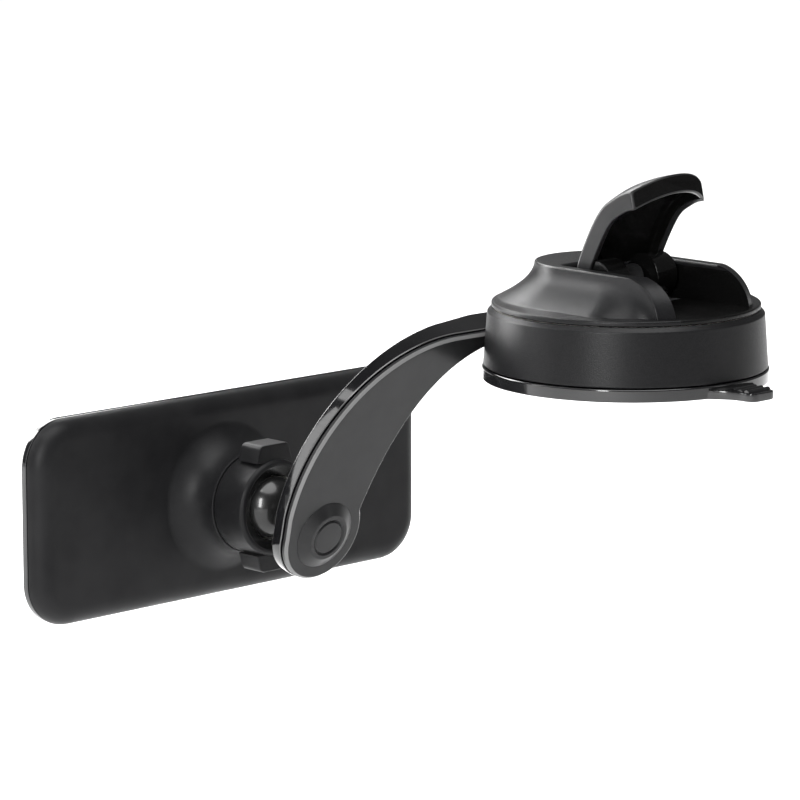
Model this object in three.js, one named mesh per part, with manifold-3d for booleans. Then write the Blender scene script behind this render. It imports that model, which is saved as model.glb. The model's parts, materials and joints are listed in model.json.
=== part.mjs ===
// Suction-cup car phone mount with a curved arm, a ball joint and a magnetic head plate.
// Millimetres. The origin is the centre of the suction face, +Z points away from the dashboard,
// the arm reaches towards -X and the head's phone face looks along +Y.
import * as THREE from 'three';
import { mergeVertices } from 'three/addons/utils/BufferGeometryUtils.js';
import Module from 'manifold-3d';

const wasm = await Module();
wasm.setup();

// ---------------------------------------------------------------- driving dimensions
const gap = 0.3; // clearance between neighbouring pieces
const seat = 0.1; // clearance under a piece that rests on another

// suction pad and its pull tab
const padLip = 0.3; // the pad's edge stands out past the band
const padRim = 3.2;
const padRimWidth = 6.4;
const padWeb = 1.2;
const padEdge = 0.5;
const tabLength = 10.1; // past the pad's edge
const tabWidth = 9;
const tabThickness = 2.2;
const tabRib = 0.7;
const tabRibs = 3;
const tabRibPitch = 2.1;
const tabRoot = 5; // how far the tab widens into the pad on each side
const tabCorner = 2.5;

// core housing and the swivelling band around it
const ringRadius = 35.6;
const ringTaper = 1.0;
const ringBevel = 1.1;
const ringWall = 4.1;
const bandTop = 18;
const coreWall = 2;
const coreWeb = 2;
const coreFlange = 2.3;
const coreFlangeHeight = 1.2;
const frictionWidth = 1.4;
const frictionHeight = 0.85;

// hood cap
const capStep = 1; // the cap's edge is set in from the band's
const capPlate = 1.2;
const hoodRise = 9.3; // above the cap's floor
const hoodCheek = 4.1; // each cheek's thickness at the top
const hoodBackY = 7.5;
const hoodFlare = 9.5;
const hoodFrontY = -16;
const hoodFrontReach = 13;
const hoodCorner = 5;
const hoodWall = 2.2;
const cavityHalf = 12; // the opening under the hood's back
const cavityEnd = 26;
const channelGap = 0.4; // between the lever and each cheek
const channelBackY = 9.5;
const screwWall = 2.5; // from the channel's wall to a cap screw's axis
const screwY = 15.9;
const screwShank = 1.1;
const screwBoss = 1.9; // wall round a cap screw's shank
const screwHead = 2.2;
const screwHeadHeight = 1.6;
const screwGrip = 4;

// lever and lift mechanism
const pinY = 1.5;
const pinRise = 4.5; // above the cap's floor
const pinRadius = 1.5;
const leverHalfWidth = 13;
const leverAngle = 62; // degrees from open to locked
const lift = 2.5;
const camRadius = 5.6;
const flankDepth = 4.7;
const flankWall = 2;
const leverSkin = 2.2;
const camHalfGap = 4.9;
const stemRadius = 4.5;
const stemFlange = 8;
const stemHead = 5;
const discClear = 1.2; // between the disc's edge and the pad's rim
const discThickness = 1.3;
const discStep = 1.2; // the disc's top stands above the pad's rim
const springWire = 1.2;
const springRadius = 7.3;
const springTurns = 5;
const guideWall = 1.2;
const guideFlange = 1.6;
const springSeat = 0.4;

// arm
const armTilt = 17; // degrees that the arm's plane leans from upright
const endOut = 29.8; // the round end's centre, out past the band's side
const endBehind = 4.8; // and behind the band's back
const endDrop = 36.7; // and below the suction face
const endRadius = 12.7;
const spineCentre = new THREE.Vector2(33.4, 4.9);
const spineRadiusX = 46.6;
const spineRadiusY = 45;
const rootX = 53.4;
const rootHeight = 4.9;
const coverThickness = 1.5;
const coverInset = 0.35;
const frameTipDepth = 3.4;
const frameRootDepth = 8.6;
const frameFlatX = 45.4;
const frameTipX = -14.6;
const frameWall = 1.1;
const bossBase = 8.75;
const bossTop = 5.75;
const bossHeight = 1.8;
const bossGroove = 4.5;

// ball joint
const ballReach = 22; // from the arm's near face to the ball's centre
const ballRadius = 8.5;
const neckRadius = 3.75;
const studFlange = 7.5;
const studFlangeHeight = 1.5;
const studScrew = 1.75;
const studCant = -6; // degrees that the stud leans from square to the arm's face
const linerWall = 0.9;
const socketWall = 1;
const nutWall = 1.2;
const nutSeatAngle = 112; // degrees from the phone's side to the end of the nut's seat
const nutFrontWall = 0.85;
const nutLipClear = 0.4; // how far the nut's lip reaches in past the ball's widest
const nutMouthWidth = 2.4;
const nutBack = 5.3;
const wingHeight = 3.7;
const wingWidth = 9.5;

// head
const headLength = 130;
const headShift = 4.5; // from the ball to the plate's middle, along X
const headHeight = 52.5;
const headThickness = 7;
const headCorner = 11.5;
const headCrown = 5;
const socketDepth = 5.6; // from the cup's end to the head's back face
const headWall = 1.8;
const shellDepth = 4.4;
const flareWidth = 8.5; // the neck's spread from the nut to the head's back
const frontFloor = 1;
const frontRim = 1.6;
const padThickness = 1;
const yokeThickness = 0.8;
const magnetRadius = 8;
const magnetThickness = 1.2;
const magnetRows = [-12, 12];
const magnetInnerX = 28;
const magnetEdge = 17.5; // from the head's end to the outer magnets' axes
const coreScrewOut = 2; // from the cup's wall to a core screw's axis
const coreScrewEdge = 3;
const headScrewEdgeX = 6.5;
const headScrewEdgeZ = 6.75;
const postRadius = 3;

// ---------------------------------------------------------------- materials
const finish = (color, roughness, metalness = 0) =>
  new THREE.MeshStandardMaterial({ color, roughness, metalness });
const gel = finish(0x0b0b0c, 0.18);
const texturedBlack = finish(0x18181a, 0.55);
const satinBlack = finish(0x161617, 0.4);
const glossBlack = finish(0x080808, 0.08);
const softBlack = finish(0x1b1b1d, 0.6);
const innerBlack = finish(0x222224, 0.5);
const acetal = finish(0xd9d8d0, 0.45);
const steel = finish(0xb9bcc0, 0.3, 1);
const darkSteel = finish(0x3a3b3d, 0.35, 1);
const nickel = finish(0xc7c8c9, 0.22, 1);

// ---------------------------------------------------------------- solids
const rad = THREE.MathUtils.degToRad;
const v2 = (x, y) => new THREE.Vector2(x, y);

// A closed geometry as a manifold solid, its doubled vertices and empty triangles removed.
function solid(geometry) {
  const bare = new THREE.BufferGeometry();
  bare.setAttribute('position', geometry.getAttribute('position'));
  bare.setIndex(geometry.getIndex());
  const merged = mergeVertices(bare, 1e-4);
  const index = merged.getIndex().array;
  const triangles = [];
  for (let i = 0; i < index.length; i += 3) {
    const [a, b, c] = [index[i], index[i + 1], index[i + 2]];
    if (a !== b && b !== c && a !== c) triangles.push(a, b, c);
  }
  return new wasm.Manifold(new wasm.Mesh({
    numProp: 3,
    vertProperties: new Float32Array(merged.getAttribute('position').array),
    triVerts: new Uint32Array(triangles),
  }));
}

function geometryOf(body) {
  const mesh = body.getMesh();
  const geometry = new THREE.BufferGeometry();
  geometry.setAttribute('position', new THREE.BufferAttribute(mesh.vertProperties, 3));
  geometry.setIndex(new THREE.BufferAttribute(mesh.triVerts, 1));
  geometry.computeVertexNormals();
  return geometry;
}

function place(group, name, body, material) {
  const mesh = new THREE.Mesh(geometryOf(body), material);
  mesh.name = name;
  group.add(mesh);
  return mesh;
}

const unite = (first, ...rest) => rest.reduce((body, other) => body.add(other), first);
const cut = (first, ...rest) => rest.reduce((body, other) => body.subtract(other), first);

// Revolved about Y from points of (radius, height), run anticlockwise so that the faces point out.
function turned(points, segments = 48) {
  const profile = points.map(([r, y]) => v2(r, y));
  if (THREE.ShapeUtils.area(profile) < 0) profile.reverse();
  return new THREE.LatheGeometry(profile, segments);
}
// Revolved about Z.
const turnedZ = (points, segments = 48) => solid(turned(points, segments).rotateX(Math.PI / 2));
const turnedY = (points, segments = 48) => solid(turned(points, segments));
// Revolved about the arm's depth direction, which is local -Z.
const turnedIn = (points, segments = 32) => solid(turned(points, segments).rotateX(-Math.PI / 2));

const disc = (r, low, high) => [[0, low], [r, low], [r, high], [0, high]];
const tube = (inner, outer, low, high) =>
  [[inner, low], [outer, low], [outer, high], [inner, high], [inner, low]];

function block(x0, x1, y0, y1, z0, z1) {
  const geometry = new THREE.BoxGeometry(x1 - x0, y1 - y0, z1 - z0);
  return solid(geometry.translate((x0 + x1) / 2, (y0 + y1) / 2, (z0 + z1) / 2));
}

// An outline in X and Z made a slab between two values of Y.
function slab(shape, y0, y1, curveSegments = 8) {
  const geometry = new THREE.ExtrudeGeometry(shape, { depth: y1 - y0, bevelEnabled: false, curveSegments });
  return solid(geometry.rotateX(Math.PI / 2).translate(0, y1, 0));
}

function plate(shape, z0, z1, curveSegments = 10) {
  const geometry = new THREE.ExtrudeGeometry(shape, { depth: z1 - z0, bevelEnabled: false, curveSegments });
  return solid(geometry.translate(0, 0, z0));
}

// A closed body through rings of the same number of points, each ring running anticlockwise
// when it is seen from the far end.
function loft(rings) {
  const count = rings[0].length;
  const points = rings.flat();
  const indices = [];
  for (let k = 0; k + 1 < rings.length; k++) {
    for (let i = 0; i < count; i++) {
      const a = k * count + i;
      const b = k * count + ((i + 1) % count);
      indices.push(a, b, b + count, a, b + count, a + count);
    }
  }
  const flat = (ring) => THREE.ShapeUtils.triangulateShape(ring.outline, []);
  const last = (rings.length - 1) * count;
  for (const [a, b, c] of flat(rings[0])) indices.push(a, c, b);
  for (const [a, b, c] of flat(rings[rings.length - 1])) indices.push(last + a, last + b, last + c);
  const geometry = new THREE.BufferGeometry().setFromPoints(points);
  geometry.setIndex(indices);
  return solid(geometry);
}

function ringOf(outline, lift3) {
  const ring = outline.map(lift3);
  ring.outline = outline;
  return ring;
}

// A round hole or shaft along X through (y, z).
function rodX(r, x0, x1, y, z, segments = 14) {
  const geometry = new THREE.CylinderGeometry(r, r, x1 - x0, segments);
  return solid(geometry.rotateZ(Math.PI / 2).translate((x0 + x1) / 2, y, z));
}

const group = new THREE.Group();

// ---------------------------------------------------------------- suction base
const coreBottom = padRim + gap;
const ringInner = ringRadius - ringWall;
const coreRadius = ringInner - gap;
const coreTop = bandTop - seat;
const webBottom = coreTop - coreWeb;
const capBottom = bandTop + gap;
const capFloor = capBottom + capPlate;
const capRadius = ringRadius - ringTaper - capStep;
const padRadius = ringRadius + padLip;
const discRadius = padRadius - padRimWidth - discClear;
const hoodTop = capFloor + hoodRise;
const pinZ = capFloor + pinRise;
const channelHalfWidth = leverHalfWidth + channelGap;
const hoodHalfWidth = channelHalfWidth + hoodCheek;
const screwX = channelHalfWidth + screwWall;
const corners = [[1, 1], [-1, 1], [-1, -1], [1, -1]];
const fasteners = corners.map(([sx, sy]) => [sx * screwX, sy * screwY]);

function gelPad() {
  const rimInner = padRadius - padRimWidth;
  const dish = turnedZ([
    [0, 0], [padRadius - padEdge, 0], [padRadius, padEdge], [padRadius, padRim - padEdge],
    [padRadius - padEdge, padRim], [rimInner, padRim], [rimInner, padWeb], [0, padWeb],
  ], 40);
  const half = tabWidth / 2;
  const tip = -padRadius - tabLength;
  const rootY = -padRadius + tabRoot / 2;
  const neckY = -padRadius - 0.8 * tabRoot;
  const shape = new THREE.Shape();
  shape.moveTo(-half - tabRoot, rootY);
  shape.quadraticCurveTo(-half, -padRadius - 1, -half, neckY);
  shape.lineTo(-half, tip + tabCorner);
  shape.quadraticCurveTo(-half, tip, -half + tabCorner, tip);
  shape.lineTo(half - tabCorner, tip);
  shape.quadraticCurveTo(half, tip, half, tip + tabCorner);
  shape.lineTo(half, neckY);
  shape.quadraticCurveTo(half, -padRadius - 1, half + tabRoot, rootY);
  let body = dish.add(plate(shape, 0, tabThickness, 6));
  const ribHalf = 0.5;
  const ribX = half - ribHalf;
  for (let i = 0; i < tabRibs; i++) {
    const y = tip + tabCorner + i * tabRibPitch;
    body = body.add(
      block(-ribX, ribX, y - ribHalf, y + ribHalf, tabThickness - seat, tabThickness + tabRib),
    );
  }
  return body;
}

function coreHousing() {
  const flange = coreRadius + coreFlange;
  const guideHole = stemRadius + gap + guideWall + gap;
  let body = turnedZ([
    [coreRadius - coreWall, coreBottom], [flange, coreBottom], [flange, coreBottom + coreFlangeHeight],
    [coreRadius, coreBottom + coreFlangeHeight], [coreRadius, coreTop], [guideHole, coreTop],
    [guideHole, webBottom], [coreRadius - coreWall, webBottom], [coreRadius - coreWall, coreBottom],
  ], 36);
  for (const [x, y] of fasteners) {
    const hole = turnedZ(disc(screwShank + gap, webBottom - 1, coreTop + 1), 10);
    body = body.subtract(hole.translate([x, y, 0]));
  }
  return body;
}

function frictionRing() {
  const inner = ringInner + seat;
  return turnedZ(tube(inner, inner + frictionWidth, coreTop - frictionHeight, coreTop), 32);
}

// The level outline of the hood: a half circle at the back, straight sides, rounded front corners.
function hoodOutline(z, inset) {
  const down = (hoodTop - z) / hoodFlare;
  const w = hoodHalfWidth + hoodFlare * down * down - inset;
  const rise = (z - capBottom + gap) / (hoodTop - capBottom + 0.6);
  const front = hoodFrontY - hoodFrontReach * Math.sqrt(1 - rise * rise) + inset;
  const points = [];
  for (let i = 0; i <= 20; i++) {
    const angle = (Math.PI * i) / 20;
    points.push(v2(w * Math.cos(angle), hoodBackY + w * Math.sin(angle)));
  }
  for (let i = 0; i <= 4; i++) {
    const angle = Math.PI + ((Math.PI / 2) * i) / 4;
    points.push(v2(-w + hoodCorner * (1 + Math.cos(angle)), front + hoodCorner * (1 + Math.sin(angle))));
  }
  for (let i = 0; i <= 4; i++) {
    const angle = Math.PI * 1.5 + ((Math.PI / 2) * i) / 4;
    points.push(v2(w - hoodCorner * (1 - Math.cos(angle)), front + hoodCorner * (1 + Math.sin(angle))));
  }
  return points;
}

function hoodBlank(low, high, steps, inset) {
  const rings = [];
  for (let k = 0; k <= steps; k++) {
    const z = low + (high - low) * Math.sin(((Math.PI / 2) * k) / steps);
    rings.push(ringOf(hoodOutline(z + inset * 0.9, inset), (p) => new THREE.Vector3(p.x, p.y, z)));
  }
  return loft(rings);
}

function hoodCap() {
  const rimChamfer = 0.4;
  const base = turnedZ([
    [0, capBottom], [capRadius, capBottom], [capRadius, capFloor - rimChamfer],
    [capRadius - rimChamfer, capFloor], [0, capFloor],
  ], 56);
  const limit = turnedZ(disc(capRadius - 0.05, capBottom, hoodTop + 1), 56);
  const hood = hoodBlank(capBottom + 0.2, hoodTop, 7, 0).intersect(limit);
  const hollow = hoodBlank(capFloor + 0.6, hoodTop - hoodWall, 4, hoodWall)
    .intersect(turnedZ(disc(capRadius - hoodWall - 0.6, capBottom - 1, hoodTop), 28))
    .intersect(block(-40, 40, channelBackY + hoodWall, 40, capBottom - 2, hoodTop))
    .add(block(
      -cavityHalf, cavityHalf, channelBackY + hoodWall + 1, cavityEnd, capBottom - 1, capFloor + 1.5,
    ));
  let body = base.add(hood).subtract(hollow);
  for (const [x, y] of fasteners) {
    const boss = turnedZ(disc(screwShank + screwBoss, capBottom, capFloor + screwGrip - 0.6), 12);
    body = body.add(boss.translate([x, y, 0]));
  }
  const channel = block(
    -channelHalfWidth, channelHalfWidth, -capRadius - 5, channelBackY, capFloor, hoodTop + 5,
  );
  const windowX = leverHalfWidth - 0.4;
  const windowY = camRadius + 2.5;
  const window = block(-windowX, windowX, -windowY, windowY, capBottom - 1, capFloor + 1);
  body = cut(body, channel, window);
  for (const [x, y] of fasteners) {
    body = body.subtract(
      turnedZ(disc(screwShank + gap, capBottom - 1, capBottom + screwGrip), 10).translate([x, y, 0]),
    );
  }
  return body;
}

function capScrew() {
  const tip = capBottom + screwGrip - gap;
  return turnedZ([
    [0, webBottom - seat - screwHeadHeight], [screwHead, webBottom - seat - screwHeadHeight],
    [screwHead, webBottom - seat], [screwShank, webBottom - seat], [screwShank, tip - 0.8], [0, tip],
  ], 10);
}

function camPlate() {
  const top = pinZ - camLow - gap;
  const body = block(
    -leverHalfWidth + 0.7, leverHalfWidth - 0.7, -camRadius - 2.2, camRadius + 2.2, coreTop + seat, top,
  );
  return body.subtract(turnedZ(disc(stemRadius + gap, coreTop - 1, top + 1), 20));
}

const guideLow = webBottom - guideFlange;

function stemGuide() {
  const inner = stemRadius + gap;
  const outer = inner + guideWall;
  return turnedZ([
    [inner, guideLow], [springRadius + springWire, guideLow],
    [springRadius + springWire, webBottom - seat], [outer, webBottom - seat], [outer, coreTop],
    [inner, coreTop], [inner, guideLow],
  ], 24);
}

const discBottom = padWeb + gap;
const discTop = padRim + discStep;
const springBottom = discTop + springSeat;
const springTop = guideLow - springSeat;

function releaseSpring() {
  const rise = springTop - springBottom - springWire;
  class Helix extends THREE.Curve {
    getPoint(t, target = new THREE.Vector3()) {
      const angle = 2 * Math.PI * springTurns * t;
      const height = springBottom + springWire / 2 + rise * t;
      return target.set(springRadius * Math.cos(angle), springRadius * Math.sin(angle), height);
    }
  }
  const section = new THREE.Shape();
  section.absarc(0, 0, springWire / 2, 0, Math.PI * 2);
  const geometry = new THREE.ExtrudeGeometry(section, {
    steps: 9 * springTurns, curveSegments: 3, extrudePath: new Helix(), bevelEnabled: false,
  });
  return solid(geometry);
}

// ---------------------------------------------------------------- lift mechanism
const halfTurn = rad(leverAngle / 2);
const camOffset = lift / 2 / Math.sin(halfTurn);
const camY = pinY - camOffset * Math.cos(halfTurn);
const camZ = pinZ + camOffset * Math.sin(halfTurn);
const camLow = camRadius - camOffset * Math.sin(halfTurn);

function liftDisc() {
  return turnedZ([
    [stemRadius + gap, discTop - discThickness], [discRadius - 2, discTop - discThickness],
    [discRadius - 2, discBottom], [discRadius, discBottom], [discRadius, discTop],
    [stemRadius + gap, discTop], [stemRadius + gap, discTop - discThickness],
  ], 32);
}

function liftStem() {
  const flangeTop = discTop - discThickness - seat;
  const body = turnedZ([
    [0, discBottom], [stemFlange, discBottom], [stemFlange, flangeTop], [stemRadius, flangeTop],
    [stemRadius, pinZ + stemHead], [0, pinZ + stemHead],
  ], 24);
  const head = rodX(stemRadius - 0.3, -stemRadius - 1, stemRadius + 1, pinY, pinZ, 24);
  const shaft = block(-9, 9, -9, 9, 0, pinZ - 1);
  return body.intersect(shaft.add(head)).subtract(rodX(pinRadius + 0.05, -9, 9, pinY, pinZ));
}

const hingePin = () => rodX(pinRadius - 0.05, -leverHalfWidth + 0.4, leverHalfWidth - 0.4, pinY, pinZ);

// The lever's long outer curve at its flanks and along its crowned middle, from root to tip,
// as points of (Y, Z) from the pin.
const curveFromPin = (points) =>
  new THREE.CatmullRomCurve3(points.map(([y, z]) => new THREE.Vector3(0, pinY + y, pinZ + z)));
const flankCurve = curveFromPin([
  [3.5, 2], [2.9, 6.4], [-1.3, 15], [-4.9, 20.1], [-8.9, 22.9], [-12, 24.4], [-14.5, 25],
]);
const crownCurve = curveFromPin([
  [3.7, 2], [3.4, 7], [-0.1, 16.2], [-3.9, 21.8], [-8.7, 25.6], [-13.7, 27.6], [-18.5, 28.8],
]);

// The lever's section across X, between two depths below its outer curve.
function leverSection(x, from, to, startU, endU, steps) {
  const crown = 1 - Math.min(1, Math.abs(x) / leverHalfWidth) ** 2.2;
  const outer = [];
  const inner = [];
  for (let i = 0; i <= steps; i++) {
    const u = startU + ((endU - startU) * i) / steps;
    const p = flankCurve.getPoint(u).lerp(crownCurve.getPoint(u), crown);
    const d = flankCurve.getTangent(u).lerp(crownCurve.getTangent(u), crown).normalize();
    const inward = v2(d.y, d.z).rotateAround(v2(0, 0), Math.PI / 2);
    outer.push(v2(p.y + inward.x * from, p.z + inward.y * from));
    inner.unshift(v2(p.y + inward.x * to, p.z + inward.y * to));
  }
  return outer.concat(inner);
}

function leverBody(halfWidth, from, to, startU, endU, steps, stations) {
  const rings = [];
  for (let k = 0; k <= stations; k++) {
    const x = halfWidth * Math.sin((Math.PI / 2) * ((2 * k) / stations - 1));
    const section = leverSection(x, from, to, startU, endU, steps);
    rings.push(ringOf(section, (p) => new THREE.Vector3(x, p.x, p.y)));
  }
  return loft(rings);
}

function lever() {
  const blank = leverBody(leverHalfWidth, 0, flankDepth, 0.06, 1, 9, 8);
  const hollow = leverBody(leverHalfWidth - flankWall, leverSkin, flankDepth + 4, 0.2, 0.955, 8, 6);
  const cams = rodX(camRadius, -leverHalfWidth + 0.7, leverHalfWidth - 0.7, camY, camZ, 28);
  const clearLug = rodX(stemRadius + 0.3, -camHalfGap, camHalfGap, pinY, pinZ, 24);
  const clearStem = block(-camHalfGap, camHalfGap, -stemRadius - 7, stemRadius + 1.6, pinZ - 9, pinZ + 1);
  const clearSweep = rodX(stemRadius + 2.6, -camHalfGap, camHalfGap, pinY - 3.6, pinZ - 0.6, 24);
  return cut(
    unite(blank.subtract(hollow), cams), clearLug, clearStem, clearSweep,
    rodX(pinRadius + 0.05, -20, 20, pinY, pinZ),
  );
}

place(group, 'gel_pad', gelPad(), gel);
place(group, 'core_housing', coreHousing(), innerBlack);
place(group, 'friction_ring', frictionRing(), acetal);
place(group, 'hood_cap', hoodCap(), texturedBlack);
fasteners.forEach(([x, y], i) => {
  place(group, `cap_screw_${i + 1}`, capScrew(), steel).position.set(x, y, 0);
});
place(group, 'cam_plate', camPlate(), steel);
place(group, 'stem_guide', stemGuide(), acetal);
place(group, 'release_spring', releaseSpring(), darkSteel);
place(group, 'lift_disc', liftDisc(), acetal);
place(group, 'lift_stem', liftStem(), innerBlack);
place(group, 'hinge_pin', hingePin(), steel);
place(group, 'lever', lever(), satinBlack);

// ---------------------------------------------------------------- swivelling band
const keyAngle = 120;
const keyHeadInner = ringInner + 1.1;
const keyHeadOuter = keyHeadInner + 1.6;
const keyHalf = 4;
const neckHalf = 2.4;
const keyBottom = coreBottom + 2.3;
const keyTop = bandTop - 1.5;

// A box in the band's radial directions at the arm's key.
function radialBlock(r0, r1, half, z0, z1) {
  return block(r0, r1, -half, half, z0, z1).rotate([0, 0, keyAngle]);
}

function swivelRing() {
  const flangeClear = coreRadius + coreFlange + gap;
  const flangeTop = coreBottom + coreFlangeHeight + gap;
  const recess = ringInner + 0.1 + frictionWidth + gap;
  const body = turnedZ([
    [flangeClear, coreBottom], [ringRadius, coreBottom], [ringRadius - ringTaper, bandTop - ringBevel],
    [ringRadius - ringTaper - ringBevel, bandTop], [recess, bandTop],
    [recess, coreTop - frictionHeight - gap], [ringInner, coreTop - frictionHeight - gap],
    [ringInner, flangeTop], [flangeClear, flangeTop], [flangeClear, coreBottom],
  ], 48);
  return cut(
    body,
    radialBlock(keyHeadInner - gap, keyHeadOuter + gap, keyHalf + gap, keyBottom - gap, bandTop + 1),
    radialBlock(keyHeadOuter - 0.1, ringRadius + 3, neckHalf + gap, keyBottom - gap, bandTop + 1),
  );
}

// ---------------------------------------------------------------- arm
const arm = new THREE.Group();
arm.position.set(-ringRadius - endOut, ringRadius + endBehind, -endDrop);
arm.rotation.x = Math.PI / 2 + rad(armTilt);
arm.updateMatrix();
const intoArm = arm.matrix.clone().invert();

// The arm's outline from the root's upper edge round the outer sweep, the round end and back
// along the inner sweep, set in by a margin.
function armOutline(inset) {
  const shape = new THREE.Shape();
  const top = spineCentre.y + spineRadiusY;
  const joinAngle = rad(25);
  const r = endRadius - inset;
  const low = top - rootHeight;
  shape.moveTo(rootX, top - inset);
  shape.lineTo(spineCentre.x, top - inset);
  shape.absellipse(
    spineCentre.x, spineCentre.y, spineRadiusX - inset, spineRadiusY - inset, Math.PI / 2, Math.PI, false,
  );
  shape.absarc(0, 0, r, Math.PI, 2 * Math.PI + joinAngle, false);
  shape.quadraticCurveTo(19.9 - 0.8 * inset, 38.4 + 0.8 * inset, 43, low + inset);
  shape.lineTo(rootX, low + inset);
  return shape;
}

const coverBack = coverThickness + gap;
const ringRoom = solid(
  new THREE.CylinderGeometry(ringRadius + gap, ringRadius + gap, 60, 56).rotateX(Math.PI / 2)
    .applyMatrix4(intoArm),
);

// Depth of the frame behind the cover along the arm: shallow at the ball, deep at the band.
function frameDepth(x) {
  const share = Math.max(0, Math.min(x, frameFlatX) - frameTipX) / (frameFlatX - frameTipX);
  return frameTipDepth + (frameRootDepth - frameTipDepth) * share * share;
}

function depthTool(less) {
  const shape = new THREE.Shape();
  shape.moveTo(-20, -2);
  for (const x of [-20, frameTipX, -2, 6, 14, 22, 30, 38, frameFlatX, 70]) {
    shape.lineTo(x, coverBack + frameDepth(x) - less);
  }
  shape.lineTo(70, -2);
  const geometry = new THREE.ExtrudeGeometry(shape, { depth: 90, bevelEnabled: false });
  return solid(geometry.rotateX(-Math.PI / 2).translate(0, -25, 0));
}

const landRadius = studFlange + 0.6;
const landDepth = frameDepth(landRadius);
const plugRadius = 4.6; // of the cap's spigot in the cover
const studHead = 3.6;
const studHeadStart = coverBack + 0.5;
const canted = (body) => body.rotate([studCant, 0, 0]);

function armFrame() {
  const strap = plate(armOutline(0), -20, -coverBack, 10).intersect(depthTool(0));
  const pocket = plate(armOutline(frameWall), -20, -coverBack + 1, 8)
    .intersect(depthTool(frameWall))
    .intersect(block(-20, 30, -20, 60, -20, 2));
  const land = canted(turnedIn(disc(landRadius, 0, coverBack + landDepth), 24))
    .intersect(block(-20, 20, -20, 20, -20, -coverBack));
  const ribs = [14, 24].map((x) => block(x, x + 1.2, -20, 60, -20, -coverBack)
    .intersect(plate(armOutline(frameWall - 0.1), -20, -coverBack, 8)).intersect(depthTool(0.1)));
  const key = unite(
    radialBlock(keyHeadInner, keyHeadOuter, keyHalf, keyBottom, keyTop),
    radialBlock(keyHeadOuter - 0.1, ringRadius - ringTaper - 0.15, neckHalf, keyBottom, keyTop),
    radialBlock(keyHeadOuter, ringRadius + 2.4, neckHalf, 8.6, 12.2),
  ).transform(intoArm.elements);
  const screwHole = canted(turnedIn(disc(studScrew + gap, 0, 12), 14));
  const headRoom = canted(turnedIn(disc(studHead + gap, 0, studHeadStart + 1.6), 16));
  const landTop = coverBack + landDepth;
  const flangeRoom = canted(turnedIn(disc(studFlange + 2 * gap, landTop, landTop + 4), 28));
  const shell = unite(strap.subtract(pocket), land, ...ribs).subtract(ringRoom);
  return cut(shell.add(key), screwHole, headRoom, flangeRoom);
}

// A bevelled panel: the outline's edge slopes over the bevel's height.
function armSideCover() {
  const bevel = 0.6;
  const geometry = new THREE.ExtrudeGeometry(armOutline(coverInset + bevel), {
    depth: coverThickness - bevel, bevelEnabled: true, bevelThickness: bevel, bevelSize: bevel,
    bevelSegments: 1, curveSegments: 10,
  });
  const body = solid(geometry.translate(0, 0, -coverThickness))
    .intersect(block(-30, 70, -30, 70, -coverThickness, 1));
  return cut(body, ringRoom, turnedIn(disc(plugRadius + gap, -1, coverThickness + 1), 20));
}

function bossCap() {
  const grooveDepth = 0.4;
  return turnedIn([
    [0, coverThickness], [plugRadius, coverThickness], [plugRadius, -seat], [bossBase, -seat],
    [bossTop + 0.3, -bossHeight + 0.25], [bossTop, -bossHeight], [bossGroove + 0.25, -bossHeight],
    [bossGroove, -bossHeight + grooveDepth], [bossGroove - 0.25, -bossHeight], [0, -bossHeight],
  ], 20);
}

function studScrewBody() {
  const under = studHeadStart + 1.4;
  return canted(turnedIn([
    [0, studHeadStart], [studHead, studHeadStart], [studHead, under], [studScrew, under], [studScrew, 14],
    [0, 14.6],
  ], 12));
}

function ballStud() {
  const flangeLow = coverBack + landDepth + gap;
  const points = [[0, flangeLow], [studFlange, flangeLow], [studFlange, flangeLow + studFlangeHeight]];
  const meet = Math.asin(neckRadius / ballRadius);
  points.push([neckRadius, flangeLow + studFlangeHeight + 0.8]);
  for (let i = 0; i <= 9; i++) {
    const angle = meet + ((Math.PI - meet) * i) / 9;
    points.push([Math.max(0, ballRadius * Math.sin(angle)), ballReach - ballRadius * Math.cos(angle)]);
  }
  points[points.length - 1][0] = 0;
  return canted(turnedIn(points, 28).subtract(turnedIn(disc(studScrew + gap, 0, 15), 14)));
}

place(group, 'swivel_ring', swivelRing(), texturedBlack);
place(arm, 'arm_frame', armFrame(), glossBlack);
place(arm, 'arm_side_cover', armSideCover(), satinBlack);
place(arm, 'boss_cap', bossCap(), satinBlack);
place(arm, 'stud_screw', studScrewBody(), steel);
place(arm, 'ball_stud', ballStud(), glossBlack);
group.add(arm);

// ---------------------------------------------------------------- ball joint and head
const head = new THREE.Group();
const ballCentre = new THREE.Vector3(0, 0, -ballReach)
  .applyAxisAngle(new THREE.Vector3(1, 0, 0), rad(studCant))
  .applyMatrix4(arm.matrix);
head.position.copy(ballCentre);

const linerInner = ballRadius + gap;
const linerOuter = linerInner + linerWall;
const cupRadius = linerOuter + gap;
const socketRadius = cupRadius + socketWall;
const nutRadius = socketRadius + gap + nutWall;
const nutFront = nutFrontWall - cupRadius * Math.cos(rad(nutSeatAngle));
const nutLip = ballRadius - nutLipClear;
const nutMouth = nutLip + nutMouthWidth;
const wingReach = nutRadius + wingHeight;
const headBack = cupRadius + socketDepth;
const flareRadius = nutRadius + flareWidth;
const coreScrewCircle = socketRadius + coreScrewOut;

// Points round a circle about the ball's centre, at polar angles from the phone's side (+Y).
function polar(r, from, to, steps) {
  const points = [];
  for (let i = 0; i <= steps; i++) {
    const angle = rad(from + ((to - from) * i) / steps);
    points.push([r * Math.sin(angle), r * Math.cos(angle)]);
  }
  return points;
}

function linerFront() {
  const inner = polar(linerInner, 0, 42, 4);
  const outer = polar(linerOuter, 42, 0, 4);
  inner[0][0] = 0;
  outer[outer.length - 1][0] = 0;
  return turnedY(inner.concat(outer), 20);
}

function linerRear() {
  const inner = polar(linerInner, 84, 109, 3);
  const outer = polar(linerOuter, 109, 84, 3);
  return turnedY([...inner, ...outer, inner[0]], 24);
}

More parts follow.
